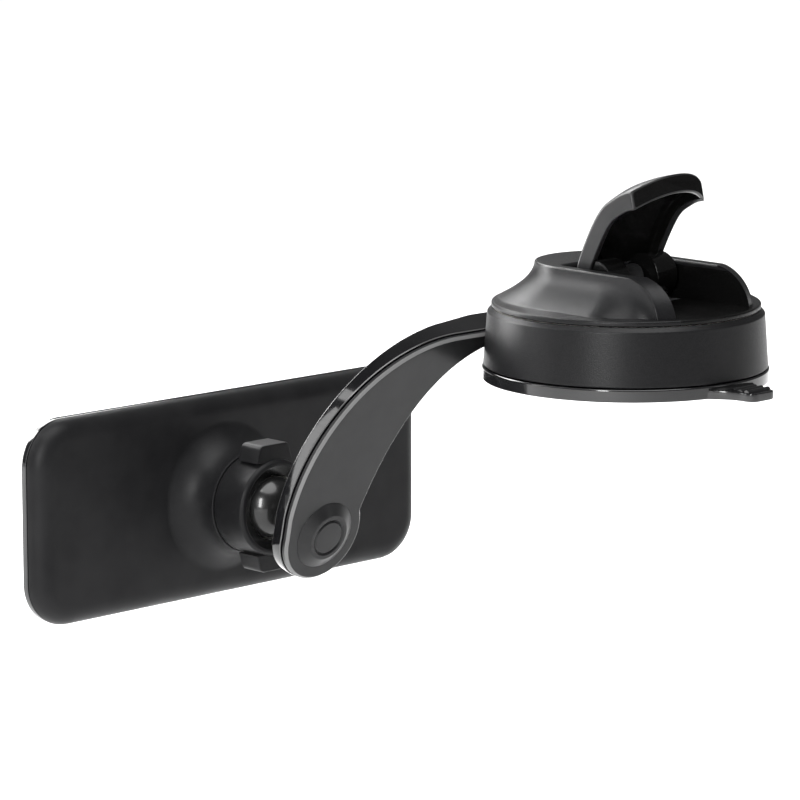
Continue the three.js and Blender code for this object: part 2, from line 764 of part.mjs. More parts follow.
const shellFloor = headBack + headWall;
const coreFlangeRadius = coreScrewCircle + coreScrewEdge;

function socketCore() {
  const cup = polar(cupRadius, 95, 14, 4);
  const wallTop = cup[0][1];
  const body = turnedY([
    [cup[cup.length - 1][0], shellFloor + 2], ...cup.slice().reverse(), [socketRadius, wallTop],
    [socketRadius, shellFloor + seat], [coreFlangeRadius, shellFloor + seat],
    [coreFlangeRadius, shellFloor + 1.6], [cup[cup.length - 1][0] + 1, shellFloor + 1.6],
    [cup[cup.length - 1][0], shellFloor + 2],
  ], 24);
  return coreScrews.reduce((rest, [x, z]) => rest.subtract(
    turnedY(disc(screwShank + gap, shellFloor - 1, shellFloor + 3), 10).translate([x, 0, z]),
  ), body);
}

const coreScrews = [0, 90, 180, 270].map((angle) => [
  coreScrewCircle * Math.cos(rad(angle)), coreScrewCircle * Math.sin(rad(angle)),
]);

function coreScrew() {
  const under = shellFloor + 1.6 + seat;
  return turnedY([
    [0, headBack - 2.4], [screwShank, headBack - 1.8], [screwShank, under], [screwHead, under],
    [screwHead, under + 1], [0, under + 1],
  ], 10);
}

function collarNut() {
  const seatPoints = polar(cupRadius, nutSeatAngle, 96, 3);
  const body = turnedY([
    [nutLip, -nutFront + 1.2], [nutMouth, -nutFront], [nutRadius - 1.1, -nutFront],
    [nutRadius - 0.4, -nutFront + 0.7], [nutRadius, nutBack], [socketRadius + gap, nutBack],
    [socketRadius + gap, -1.3], ...seatPoints.reverse(), [nutLip + 0.5, -nutFront + 1.3],
    [nutLip, -nutFront + 1.2],
  ], 28);
  const shape = new THREE.Shape();
  const half = wingWidth / 2;
  const wingRoot = half + 1.2;
  const corner = 0.8;
  shape.moveTo(-wingRoot, nutRadius - 3);
  shape.lineTo(wingRoot, nutRadius - 3);
  shape.lineTo(half, wingReach - corner);
  shape.lineTo(half - corner, wingReach);
  shape.lineTo(-half + corner, wingReach);
  shape.lineTo(-half, wingReach - corner);
  const wing = slab(shape, -nutFront + 0.9, nutBack - 1.6);
  const wings = wing.add(wing.rotate([0, 180, 0]));
  const core = turnedY(disc(socketRadius + 0.9, -10, 10), 28);
  return body.add(wings.subtract(core));
}

function headOutline(inset, corner = headCorner) {
  const hx = headLength / 2 - inset;
  const hz = headHeight / 2 - inset;
  const r = corner - inset;
  const shape = new THREE.Shape();
  const left = headShift - hx;
  const right = headShift + hx;
  shape.moveTo(left + r, -hz);
  shape.lineTo(right - r, -hz);
  shape.absarc(right - r, -hz + r, r, -Math.PI / 2, 0, false);
  shape.lineTo(right, hz - r);
  shape.absarc(right - r, hz - r, r, 0, Math.PI / 2, false);
  shape.lineTo(left + r, hz);
  shape.absarc(left + r, hz - r, r, Math.PI / 2, Math.PI, false);
  shape.lineTo(left, -hz + r);
  shape.absarc(left + r, -hz + r, r, Math.PI, Math.PI * 1.5, false);
  return shape;
}

// A thick rounded slab whose two faces are crowned at the edge, its low face at y.
function crownedSlab(inset, y, crown) {
  const geometry = new THREE.ExtrudeGeometry(headOutline(inset + crown), {
    depth: 12, bevelEnabled: true, bevelThickness: crown, bevelSize: crown, bevelSegments: 2,
    curveSegments: 4,
  });
  return solid(geometry.rotateX(Math.PI / 2).translate(0, y + 12 + crown, 0));
}

const headScrewX = headLength / 2 - headScrewEdgeX;
const headScrewZ = headHeight / 2 - headScrewEdgeZ;
const headPosts = corners.map(([sx, sz]) => [headShift + sx * headScrewX, sz * headScrewZ]);
const shellFront = headBack + shellDepth;

function headBackShell() {
  const outer = crownedSlab(0, headBack, headCrown).intersect(block(-80, 80, 0, shellFront, -50, 50));
  const inner = crownedSlab(headWall, shellFloor, headCrown - headWall)
    .intersect(block(-80, 80, 0, shellFront + 1, -50, 50));
  const flareStart = nutBack + gap;
  const flare = [[socketRadius + gap, flareStart], [nutRadius + gap, flareStart]];
  const flareEnd = headBack + 0.4;
  const spread = flareRadius - nutRadius - gap;
  for (let i = 1; i <= 5; i++) {
    const t = i / 5;
    flare.push([nutRadius + gap + spread * t ** 2.6, flareStart + (flareEnd - flareStart) * t]);
  }
  flare.push([socketRadius + gap, flareEnd], [socketRadius + gap, flareStart]);
  let body = outer.subtract(inner).add(turnedY(flare, 28));
  body = body.subtract(turnedY(disc(socketRadius + gap, flareStart - 1, shellFloor + 1), 28));
  for (const [x, z] of headPosts) {
    body = body.add(turnedY(disc(postRadius, shellFloor - 0.2, shellFront), 12).translate([x, 0, z]));
    const hole = turnedY(disc(screwShank + gap, shellFloor + 0.3, shellFront + 1), 10);
    body = body.subtract(hole.translate([x, 0, z]));
  }
  for (const [x, z] of coreScrews) {
    const hole = turnedY(disc(screwShank + gap, headBack - 3, shellFloor + 1), 10);
    body = body.subtract(hole.translate([x, 0, z]));
  }
  return body;
}

const yokeBack = shellFloor + 0.3;
const magnetBack = yokeBack + yokeThickness + 0.1;
const magnetOuterX = headLength / 2 - magnetEdge;
const magnetColumns = [-magnetOuterX, -magnetInnerX, magnetInnerX, magnetOuterX].map((x) => x + headShift);
const magnetSpots = magnetColumns.flatMap((x) => magnetRows.map((z) => [x, z]));

function innerSheet(y0, y1, margin) {
  let body = slab(headOutline(headWall + margin, headCorner + margin), y0, y1, 4);
  body = body.subtract(turnedY(disc(coreFlangeRadius + 1, y0 - 1, y1 + 1), 24));
  for (const [x, z] of headPosts) {
    body = body.subtract(turnedY(disc(postRadius + 2 * gap, y0 - 1, y1 + 1), 12).translate([x, 0, z]));
  }
  return body;
}

const steelYoke = () => innerSheet(yokeBack, yokeBack + yokeThickness, headCrown - headWall);

function magnetCarrier() {
  return magnetSpots.reduce((body, [x, z]) => body.subtract(
    turnedY(disc(magnetRadius + gap, magnetBack - 1, magnetBack + 3), 12).translate([x, 0, z]),
  ), innerSheet(magnetBack, magnetBack + magnetThickness, 2.2));
}

const magnet = () => turnedY(disc(magnetRadius, magnetBack, magnetBack + magnetThickness), 12);

const frameBack = shellFront + gap;
const headFront = headBack + headThickness;

function frontFrame() {
  const edge = 0.8;
  const geometry = new THREE.ExtrudeGeometry(headOutline(edge), {
    depth: 6, bevelEnabled: true, bevelThickness: edge, bevelSize: edge, bevelSegments: 1, curveSegments: 5,
  });
  const blank = solid(geometry.rotateX(Math.PI / 2).translate(0, headFront - edge, 0))
    .intersect(block(-80, 80, frameBack, headFront + 1, -50, 50));
  const recess = slab(headOutline(frontRim), frameBack + frontFloor, headFront + 1, 5);
  return headPosts.reduce((body, [x, z]) => body.subtract(
    turnedY(disc(screwShank + gap, frameBack - 1, headFront), 10).translate([x, 0, z]),
  ), blank.subtract(recess));
}

function frontPad() {
  const back = headFront - padThickness;
  return headPosts.reduce((body, [x, z]) => body.subtract(
    turnedY(disc(screwHead + gap, back - 1, back + 0.45), 10).translate([x, 0, z]),
  ), slab(headOutline(frontRim + gap), back, headFront, 5));
}

function headScrew() {
  const under = frameBack + frontFloor + 0.05;
  return turnedY([
    [0, shellFloor + 0.7], [screwShank, shellFloor + 1.2], [screwShank, under], [screwHead, under],
    [screwHead, under + 0.6], [0, under + 0.6],
  ], 10);
}

place(head, 'liner_front', linerFront(), acetal);
place(head, 'liner_rear', linerRear(), acetal);
place(head, 'socket_core', socketCore(), innerBlack);
coreScrews.forEach(([x, z], i) => {
  place(head, `core_screw_${i + 1}`, coreScrew(), steel).position.set(x, 0, z);
});
place(head, 'collar_nut', collarNut(), softBlack);
place(head, 'head_back_shell', headBackShell(), softBlack);
place(head, 'steel_yoke', steelYoke(), darkSteel);
place(head, 'magnet_carrier', magnetCarrier(), innerBlack);
magnetSpots.forEach(([x, z], i) => {
  place(head, `magnet_${i + 1}`, magnet(), nickel).position.set(x, 0, z);
});
place(head, 'front_frame', frontFrame(), glossBlack);
place(head, 'front_pad', frontPad(), softBlack);
headPosts.forEach(([x, z], i) => {
  place(head, `head_screw_${i + 1}`, headScrew(), steel).position.set(x, 0, z);
});
group.add(head);

export default group;
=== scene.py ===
"""Looks of a dashboard phone mount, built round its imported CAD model.

Lengths are in millimetres. The outer ones come from the frame's nodes and joints, and each mesh is
scaled to metres when it becomes a piece.
"""
import json
import math

import bmesh
import bpy
from mathutils import Matrix, Vector


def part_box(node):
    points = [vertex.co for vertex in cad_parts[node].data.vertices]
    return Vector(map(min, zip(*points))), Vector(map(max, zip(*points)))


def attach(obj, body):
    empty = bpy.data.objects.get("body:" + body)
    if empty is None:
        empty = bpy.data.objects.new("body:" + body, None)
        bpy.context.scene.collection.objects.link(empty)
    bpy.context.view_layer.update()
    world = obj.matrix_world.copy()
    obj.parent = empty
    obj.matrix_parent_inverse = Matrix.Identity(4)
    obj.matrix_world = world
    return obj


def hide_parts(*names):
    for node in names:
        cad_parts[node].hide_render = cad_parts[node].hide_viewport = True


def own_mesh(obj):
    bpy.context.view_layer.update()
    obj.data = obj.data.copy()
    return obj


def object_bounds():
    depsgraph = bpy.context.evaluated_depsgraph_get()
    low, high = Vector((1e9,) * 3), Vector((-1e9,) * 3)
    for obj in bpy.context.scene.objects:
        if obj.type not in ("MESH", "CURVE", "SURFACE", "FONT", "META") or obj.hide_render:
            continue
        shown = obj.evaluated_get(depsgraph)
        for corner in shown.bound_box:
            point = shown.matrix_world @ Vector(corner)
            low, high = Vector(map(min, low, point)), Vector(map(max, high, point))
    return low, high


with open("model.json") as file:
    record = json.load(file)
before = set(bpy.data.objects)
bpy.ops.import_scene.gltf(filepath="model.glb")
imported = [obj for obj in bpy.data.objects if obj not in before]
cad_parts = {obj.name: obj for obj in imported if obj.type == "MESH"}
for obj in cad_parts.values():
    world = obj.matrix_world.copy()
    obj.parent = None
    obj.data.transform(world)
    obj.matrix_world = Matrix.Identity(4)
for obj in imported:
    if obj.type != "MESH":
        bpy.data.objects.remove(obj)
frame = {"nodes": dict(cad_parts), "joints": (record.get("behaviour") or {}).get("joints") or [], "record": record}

MM = 0.001
cad_low, cad_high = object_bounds()
slot_of = {part["node"]: part["material_slot"] for part in frame["record"]["subparts"]}
joint_of = {joint["name"]: joint for joint in frame["joints"]}


def box_mm(node):
    """A CAD node's lowest and highest corners in millimetres."""
    low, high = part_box(node)
    return low / MM, high / MM


# ------------------------------------------------------------------ sizes from the frame
pad_low, pad_high = box_mm("gel_pad")
band_low, band_high = box_mm("swivel_ring")
cap_low, cap_high = box_mm("hood_cap")
spring_low, spring_high = box_mm("release_spring")
shell_low, shell_high = box_mm("head_back_shell")
bezel_low, bezel_high = box_mm("front_frame")
face_low, face_high = box_mm("front_pad")
nut_low, nut_high = box_mm("collar_nut")
pin = Vector(joint_of["lever_turn"]["pos_m"]) / MM
ball = Vector(joint_of["head_roll"]["pos_m"]) / MM

pad_radius = pad_high.x
pad_top = pad_high.z
band_radius = band_high.x
cap_radius = cap_high.x
hood_top = cap_high.z
lever_half = box_mm("lever")[1].x

BALL_RADIUS = 8.5
BALL_REACH = 22.0  # from the side panel's face to the ball's centre
ARM_LEAN = math.radians(17)
STUD_CANT = math.radians(-6)  # between the stud and the arm's depth
CAP_FLOOR = cap_low.z + 1.2

stud_lean = ARM_LEAN + STUD_CANT
arm_end = ball - BALL_REACH * Vector((0, math.cos(stud_lean), math.sin(stud_lean)))
ARM_PLACE = Matrix.Translation(arm_end) @ Matrix.Rotation(math.pi / 2 + ARM_LEAN, 4, "X")
STUD_PLACE = Matrix.Rotation(STUD_CANT, 4, "X") @ Matrix.Rotation(math.pi, 4, "X")
HEAD_PLACE = Matrix.Translation(ball) @ Matrix.Rotation(-math.pi / 2, 4, "X")


# ------------------------------------------------------------------ camera and studio
CAMERA_AZIMUTH = math.radians(-44)
CAMERA_HEIGHT = math.radians(10.4)
CAMERA_DISTANCE = 1000.0
CAMERA_TARGET = Vector((-41.2, 38.4, -5.6))
FLOOR_DROP = 56.0  # below the lowest point of the mount
FLOOR_RINGS = (0.01, 600, 3000, 14000)  # radii
FLOOR_SIDES = 96
FLOOR_WHITE = 0.93
SKY_STRENGTH = 0.15


def toward(azimuth, elevation):
    """The direction of a place seen from the mount, azimuth 0 behind a viewer who looks along +Y."""
    flat = math.cos(elevation)
    return Vector((math.sin(azimuth) * flat, -math.cos(azimuth) * flat, math.sin(elevation)))


def make_camera():
    data = bpy.data.cameras.new("camera")
    data.sensor_width = 36
    data.lens = 180
    data.clip_start = 0.05
    camera = bpy.data.objects.new("camera", data)
    back = toward(CAMERA_AZIMUTH, CAMERA_HEIGHT)
    camera.location = (CAMERA_TARGET + CAMERA_DISTANCE * back) * MM
    camera.rotation_euler = back.to_track_quat("Z", "Y").to_euler()
    bpy.context.scene.collection.objects.link(camera)
    bpy.context.scene.camera = camera


def make_floor():
    """A round pale floor under the mount."""
    level = cad_low.z / MM - FLOOR_DROP
    turns = [2 * math.pi * i / FLOOR_SIDES for i in range(FLOOR_SIDES)]
    rows = []
    for radius in FLOOR_RINGS:
        rows.append([(radius * math.cos(turn), radius * math.sin(turn), level) for turn in turns])
    mesh = lofted(rows, caps=False)
    floor = bpy.data.objects.new("studio_floor", mesh)
    mesh.transform(Matrix.Scale(MM, 4))
    mesh.shade_smooth()
    paint = Finish("studio_paper", (FLOOR_WHITE,) * 3, 0.95)
    paint.bump((paint.noise(14, 4), 0.05))
    mesh.materials.append(paint.material)
    bpy.context.scene.collection.objects.link(floor)


def softbox(name, azimuth, elevation, distance, width, height, watts):
    """A rectangular light that looks at the mount, its angles in degrees."""
    data = bpy.data.lights.new(name, "AREA")
    data.shape = "RECTANGLE"
    data.size, data.size_y, data.energy = width * MM, height * MM, watts
    light = bpy.data.objects.new(name, data)
    away = toward(math.radians(azimuth), math.radians(elevation))
    light.location = (CAMERA_TARGET + distance * away) * MM
    light.rotation_euler = away.to_track_quat("Z", "Y").to_euler()
    bpy.context.scene.collection.objects.link(light)


def make_lights():
    world = bpy.data.worlds.new("studio")
    world.use_nodes = True
    sky = world.node_tree.nodes["Background"]
    sky.inputs["Color"].default_value = (1, 1, 1, 1)
    sky.inputs["Strength"].default_value = SKY_STRENGTH
    bpy.context.scene.world = world
    bpy.context.scene.view_settings.view_transform = "Standard"
    sun = bpy.data.lights.new("ceiling", "SUN")
    sun.energy = 3.15
    sun.angle = math.radians(50)
    ceiling = bpy.data.objects.new("ceiling", sun)
    ceiling.rotation_euler = (math.radians(14), math.radians(-4), 0)
    bpy.context.scene.collection.objects.link(ceiling)
    softbox("left_rim", -160, 16, 900, 260, 900, 16)
    softbox("left_strip", -122, 24, 900, 110, 900, 2)
    softbox("front_strip", -62, 18, 1100, 170, 600, 11)
    softbox("right_strip", 34, 18, 900, 150, 700, 0.4)
    softbox("rear_rim", 165, 35, 1000, 900, 260, 8)
    softbox("overhead", -100, 62, 1000, 700, 120, 1.6)


# ------------------------------------------------------------------ finishes
class Finish:
    """A node material, its patterns sized in millimetres on the piece's object coordinates."""

    def __init__(self, name, colour, roughness, **sockets):
        self.material = bpy.data.materials.new(name)
        self.material.use_nodes = True
        self.nodes = self.material.node_tree.nodes
        self.links = self.material.node_tree.links
        self.shader = self.nodes["Principled BSDF"]
        self.shader.inputs["Base Color"].default_value = (*colour, 1)
        self.shader.inputs["Roughness"].default_value = roughness
        for socket, value in sockets.items():
            self.shader.inputs[socket.replace("_", " ")].default_value = value
        self.place = self.nodes.new("ShaderNodeTexCoord").outputs["Object"]

    def stretched(self, x, y, z):
        """The pattern's coordinates scaled along each axis."""
        node = self.nodes.new("ShaderNodeMapping")
        node.inputs["Scale"].default_value = (x, y, z)
        self.links.new(self.place, node.inputs["Vector"])
        return node.outputs["Vector"]

    def noise(self, size, detail=2, vector=None):
        node = self.nodes.new("ShaderNodeTexNoise")
        node.inputs["Scale"].default_value = 1 / (size * MM)
        node.inputs["Detail"].default_value = detail
        self.links.new(vector or self.place, node.inputs["Vector"])
        return node.outputs[0]

    def cells(self, size):
        node = self.nodes.new("ShaderNodeTexVoronoi")
        node.inputs["Scale"].default_value = 1 / (size * MM)
        self.links.new(self.place, node.inputs["Vector"])
        return node.outputs["Distance"]

    def ranged(self, value, low, high, start=0.35, end=0.65):
        node = self.nodes.new("ShaderNodeMapRange")
        ends = {"From Min": start, "From Max": end, "To Min": low, "To Max": high}
        for socket, number in ends.items():
            node.inputs[socket].default_value = number
        self.links.new(value, node.inputs["Value"])
        return node.outputs["Result"]

    def vary_roughness(self, value, low, high, start=0.35, end=0.65):
        self.links.new(self.ranged(value, low, high, start, end), self.shader.inputs["Roughness"])

    def vary_colour(self, value, dark, light, start=0.35, end=0.65):
        node = self.nodes.new("ShaderNodeValToRGB")
        node.color_ramp.elements[0].position = start
        node.color_ramp.elements[1].position = end
        node.color_ramp.elements[0].color = (*dark, 1)
        node.color_ramp.elements[1].color = (*light, 1)
        self.links.new(value, node.inputs["Fac"])
        self.links.new(node.outputs["Color"], self.shader.inputs["Base Color"])

    def where_marked(self, mark, roughness, shade):
        """Faces that carry a mark take another roughness and a flat grey; on recess faces that grey is painted
        shade, on edge faces a painted highlight.
        """
        flag = self.nodes.new("ShaderNodeAttribute")
        flag.attribute_name = mark
        changes = (("Roughness", "FLOAT", roughness), ("Base Color", "RGBA", (shade,) * 3 + (1,)))
        for socket, kind, end in changes:
            here = self.shader.inputs[socket].links[0].from_socket
            mix = self.nodes.new("ShaderNodeMix")
            mix.data_type = kind
            inputs = [i for i in mix.inputs if i.enabled]
            self.links.new(flag.outputs["Fac"], inputs[0])
            self.links.new(here, inputs[1])
            inputs[2].default_value = end
            self.links.new([o for o in mix.outputs if o.enabled][0], self.shader.inputs[socket])

    def bump(self, *layers):
        """Bumps of (height, depth in millimetres), each over the one before."""
        normal = None
        for height, depth in layers:
            node = self.nodes.new("ShaderNodeBump")
            node.inputs["Distance"].default_value = depth * MM
            self.links.new(height, node.inputs["Height"])
            if normal:
                self.links.new(normal, node.inputs["Normal"])
            normal = node.outputs["Normal"]
        self.links.new(normal, self.shader.inputs["Normal"])


def gel_finish():
    """Tacky black gel: wet gloss, faint ripples from the mould, a few dull touches."""
    paint = Finish(
        "gel_finish", (0.006, 0.006, 0.0065), 0.14, Coat_Weight=0.25, Coat_Roughness=0.05,
        Specular_IOR_Level=0.4,
    )
    paint.vary_roughness(paint.noise(7, 4), 0.1, 0.2)
    paint.vary_colour(paint.noise(11), (0.005, 0.005, 0.0055), (0.009, 0.009, 0.0095))
    paint.bump((paint.noise(5, 1), 0.05), (paint.noise(0.6, 2), 0.004))
    return paint


def textured_finish():
    """Spark-eroded black plastic: a fine pebbled grain with satin tops, painted shade in its recesses and a
    painted highlight on its crest.
    """
    paint = Finish("textured_finish", (0.006, 0.006, 0.0065), 0.36, Specular_IOR_Level=0.15)
    paint.vary_roughness(paint.noise(0.3, 3), 0.3, 0.42)
    paint.vary_colour(paint.noise(0.25, 2), (0.0045, 0.0045, 0.005), (0.0075, 0.0075, 0.008))
    # recess faces: a glossier roughness, and a darker grey that is painted shade
    paint.where_marked("recess", 0.2, 0.003)
    # edge faces: a lighter grey that is a painted highlight
    paint.where_marked("edge", 0.24, 0.035)
    paint.bump((paint.cells(0.3), 0.02), (paint.noise(0.15, 2), 0.012))
    return paint


def satin_finish():
    """Smooth satin black plastic with the faint haze of handling, painted shade in its recesses and painted
    highlights on its bevelled edges.
    """
    paint = Finish("satin_finish", (0.009, 0.009, 0.0095), 0.32, Specular_IOR_Level=0.23)
    paint.vary_roughness(paint.noise(9, 5), 0.28, 0.38)
    paint.vary_colour(paint.noise(6, 3), (0.008, 0.008, 0.0085), (0.011, 0.011, 0.0115))
    # recess faces: a glossier roughness, and a darker grey that is painted shade
    paint.where_marked("recess", 0.14, 0.003)
    # edge faces: a bright grey that is a painted highlight on the bevel
    paint.where_marked("edge", 0.18, 0.12)
    paint.bump((paint.noise(0.16, 2), 0.005), (paint.noise(4, 1), 0.015))
    return paint


def piano_finish():
    """Polished black: a clear coat over black with hairline wipe marks, and painted highlights on its edges."""
    paint = Finish(
        "piano_finish", (0.004, 0.004, 0.0045), 0.08, Coat_Weight=0.25, Coat_Roughness=0.03,
        Specular_IOR_Level=0.3,
    )
    paint.vary_roughness(paint.noise(0.5, 4, paint.stretched(1, 0.12, 1)), 0.06, 0.15, 0.4, 0.75)
    paint.vary_colour(paint.noise(8), (0.003, 0.003, 0.0035), (0.005, 0.005, 0.0055))
    paint.where_marked("haze", 0.26, 0.006)
    # edge faces: a lighter grey that is a painted highlight
    paint.where_marked("edge", 0.12, 0.06)
    paint.bump((paint.noise(9, 1), 0.02))
    return paint


def soft_touch_finish():
    """Soft-touch paint: deep matte with a low sheen and a powdery micro grain, and painted shade in its recesses.
    """
    paint = Finish(
        "soft_touch_finish", (0.006, 0.006, 0.0065), 0.44, Sheen_Weight=0.02, Sheen_Roughness=0.4,
        Specular_IOR_Level=0.12,
    )
    paint.vary_roughness(paint.noise(12, 5), 0.38, 0.5)
    paint.vary_colour(paint.noise(9, 4), (0.005, 0.005, 0.0055), (0.0075, 0.0075, 0.008))
    # recess faces: a glossier roughness, and a darker grey that is painted shade
    paint.where_marked("recess", 0.12, 0.001)
    paint.bump((paint.noise(0.13, 2), 0.008), (paint.noise(26, 1), 0.06))
    return paint


def phone_pad_finish():
    """Matt silicone with a close pebble so that a phone doesn't slide."""
    paint = Finish(
        "phone_pad_finish", (0.01, 0.01, 0.0105), 0.66, Sheen_Weight=0.02, Specular_IOR_Level=0.15,
    )
    paint.vary_roughness(paint.noise(3, 4), 0.62, 0.7)
    paint.vary_colour(paint.noise(5, 3), (0.009, 0.009, 0.0095), (0.011, 0.011, 0.0115))
    paint.bump((paint.cells(0.7), 0.05), (paint.noise(0.3, 2), 0.015))
    return paint


def moulded_finish():
    """Unpolished inner mouldings, with soft flow marks."""
    paint = Finish("moulded_finish", (0.022, 0.022, 0.023), 0.5, Specular_IOR_Level=0.3)
    paint.vary_roughness(paint.noise(2.2, 4), 0.42, 0.58)
    flow = paint.noise(9, 3, paint.stretched(1, 1, 0.3))
    paint.vary_colour(flow, (0.018, 0.018, 0.019), (0.03, 0.03, 0.031))
    paint.bump((paint.noise(0.5, 3), 0.012))
    return paint


def acetal_finish():
    """Natural acetal: waxy off-white."""
    paint = Finish("acetal_finish", (0.78, 0.77, 0.72), 0.36)
    paint.vary_roughness(paint.noise(3, 3), 0.3, 0.44)
    paint.vary_colour(paint.noise(6, 3), (0.74, 0.73, 0.68), (0.81, 0.8, 0.76))
    paint.bump((paint.noise(0.4, 2), 0.006))
    return paint


def steel_finish():
    """Zinc-plated steel, drawn along its length."""
    paint = Finish("steel_finish", (0.58, 0.59, 0.61), 0.3, Metallic=1.0)
    paint.vary_roughness(paint.noise(0.35, 4, paint.stretched(0.08, 1, 1)), 0.22, 0.4)
    paint.vary_colour(paint.noise(2.5, 3), (0.5, 0.51, 0.53), (0.66, 0.67, 0.69))
    paint.bump((paint.noise(0.12, 2, paint.stretched(0.06, 1, 1)), 0.004))
    return paint


def spring_finish():
    """Oiled spring steel with a blued cast."""
    paint = Finish("spring_finish", (0.23, 0.24, 0.27), 0.28, Metallic=1.0)
    paint.vary_roughness(paint.noise(0.8, 4), 0.2, 0.38)
    paint.vary_colour(paint.noise(3, 3), (0.17, 0.18, 0.22), (0.3, 0.31, 0.33))
    paint.bump((paint.noise(0.2, 2), 0.004))
    return paint


def nickel_finish():
    """Bright nickel plate with slight plating haze."""
    paint = Finish("nickel_finish", (0.66, 0.64, 0.6), 0.16, Metallic=1.0)
    paint.vary_roughness(paint.noise(1.5, 4), 0.1, 0.24)
    paint.vary_colour(paint.noise(4, 2), (0.61, 0.59, 0.55), (0.7, 0.68, 0.64))
    paint.bump((paint.noise(0.5, 2), 0.003))
    return paint


finishes = {
    "gel_pad": gel_finish(),
    "textured_black": textured_finish(),
    "satin_black": satin_finish(),
    "piano_black": piano_finish(),
    "soft_black": soft_touch_finish(),
    "phone_pad": phone_pad_finish(),
    "inner_black": moulded_finish(),
    "acetal": acetal_finish(),
    "steel": steel_finish(),
    "spring_steel": spring_finish(),
    "nickel": nickel_finish(),
}


# ------------------------------------------------------------------ shapes
def mesh_from(points, faces):
    """A mesh with its doubled points merged and its faces pointing out."""
    mesh = bpy.data.meshes.new("shape")
    mesh.from_pydata([tuple(p) for p in points], [], faces)
    shape = bmesh.new()
    shape.from_mesh(mesh)
    bmesh.ops.remove_doubles(shape, verts=shape.verts, dist=2e-4)
    bmesh.ops.dissolve_degenerate(shape, edges=shape.edges, dist=1e-5)
    bmesh.ops.recalc_face_normals(shape, faces=shape.faces)
    shape.to_mesh(mesh)
    shape.free()
    return mesh


def smooth_step(value, start, end):
    """How far a value has come from start to end, eased at both, from 0 to 1."""
    t = max(0.0, min(1.0, (value - start) / (end - start)))
    return t * t * (3 - 2 * t)


def curved(start, bend, end, t):
    """A point of the curve that leaves start for bend and turns to end."""
    return start * (1 - t) ** 2 + bend * 2 * t * (1 - t) + end * t * t


def quarter_round(radius, steps):
    """Pairs of (distance in from one face, distance down from the other) round an edge."""
    turns = [math.pi / 2 * k / steps for k in range(steps + 1)]
    return [(radius * (1 - math.cos(turn)), radius * (1 - math.sin(turn))) for turn in turns]


def filleted(corners, steps=4):
    """The closed outline through corners of (a, b, set-back), each rounded over its set-back."""
    outline = []
    for i, (a, b, setback) in enumerate(corners):
        here = Vector((a, b))
        before = Vector(corners[i - 1][:2]) - here
        after = Vector(corners[(i + 1) % len(corners)][:2]) - here
        if setback == 0 or min(before.length, after.length) < 1e-6:
            outline.append(here)
            continue
        start = here + before.normalized() * min(setback, 0.48 * before.length)
        end = here + after.normalized() * min(setback, 0.48 * after.length)
        outline += [curved(start, here, end, k / steps) for k in range(steps + 1)]
    return outline


def turned(corners, segments=144, steps=4):
    """A closed outline of (radius, height, set-back) corners turned about Z."""
    profile = filleted(corners, steps)
    count = len(profile)
    points, faces = [], []
    for i in range(segments):
        angle = 2 * math.pi * i / segments
        points += [(r * math.cos(angle), r * math.sin(angle), h) for r, h in profile]
        here, there = i * count, (i + 1) % segments * count
        for k in range(count):
            n = (k + 1) % count
            if profile[k].x > 1e-6 or profile[n].x > 1e-6:
                faces.append((here + k, there + k, there + n, here + n))
    return mesh_from(points, faces)


def lofted(rings, caps=True):
    """A skin through rings of points, its two ends closed if it has caps."""
    count = len(rings[0])
    points = [p for ring in rings for p in ring]
    faces = []
    for k in range(len(rings) - 1):
        for i in range(count):
            a, b = k * count + i, k * count + (i + 1) % count
            faces.append((a, b, b + count, a + count))
    if caps:
        last = (len(rings) - 1) * count
        faces.append(tuple(reversed(range(count))))
        faces.append(tuple(range(last, last + count)))
    return mesh_from(points, faces)


def combined(base, tool, operation):
    """The union or difference of two closed meshes."""
    holder = bpy.data.objects.new("holder", base)
    cutter = bpy.data.objects.new("cutter", tool)
    for o in (holder, cutter):
        bpy.context.scene.collection.objects.link(o)
    modifier = holder.modifiers.new("combine", "BOOLEAN")
    modifier.operation = operation
    modifier.solver = "MANIFOLD"
    modifier.object = cutter
    graph = bpy.context.evaluated_depsgraph_get()
    mesh = bpy.data.meshes.new_from_object(holder.evaluated_get(graph))
    bpy.data.objects.remove(holder)
    bpy.data.objects.remove(cutter)
    return mesh


def cuboid(low, high):
    """A box between two opposite corners."""
    (x0, y0, z0), (x1, y1, z1) = low, high
    return lofted([[(x0, y0, z), (x1, y0, z), (x1, y1, z), (x0, y1, z)] for z in (z0, z1)])


def moved(mesh, matrix):
    """The same mesh, carried by a matrix."""
    mesh.transform(matrix)
    return mesh


def marked(mesh, mark, test):
    """Marks the faces whose centre and normal pass a test, both in millimetres and before placing."""
    flags = mesh.attributes.new(mark, "FLOAT", "FACE")
    for face in mesh.polygons:
        flags.data[face.index].value = 1.0 if test(face.center, face.normal) else 0.0
    return mesh


def piece(name, mesh, body, *nodes, place=Matrix.Identity(4), crease=38):
    """A finished piece on a body that stands for CAD nodes and takes their finish."""
    mesh.transform(Matrix.Scale(MM, 4) @ place)
    mesh.materials.clear()
    mesh.materials.append(finishes[slot_of[nodes[0]]].material)
    mesh.shade_smooth()
    mesh.set_sharp_from_angle(angle=math.radians(crease))
    shape = bpy.data.objects.new(name, mesh)
    bpy.context.scene.collection.objects.link(shape)
    weigh = shape.modifiers.new("weigh", "WEIGHTED_NORMAL")
    weigh.keep_sharp = True
    graph = bpy.context.evaluated_depsgraph_get()
    final = bpy.data.meshes.new_from_object(shape.evaluated_get(graph))
    shape.modifiers.clear()
    shape.data = final
    final.name = name
    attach(shape, body)
    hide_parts(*nodes)
    return shape


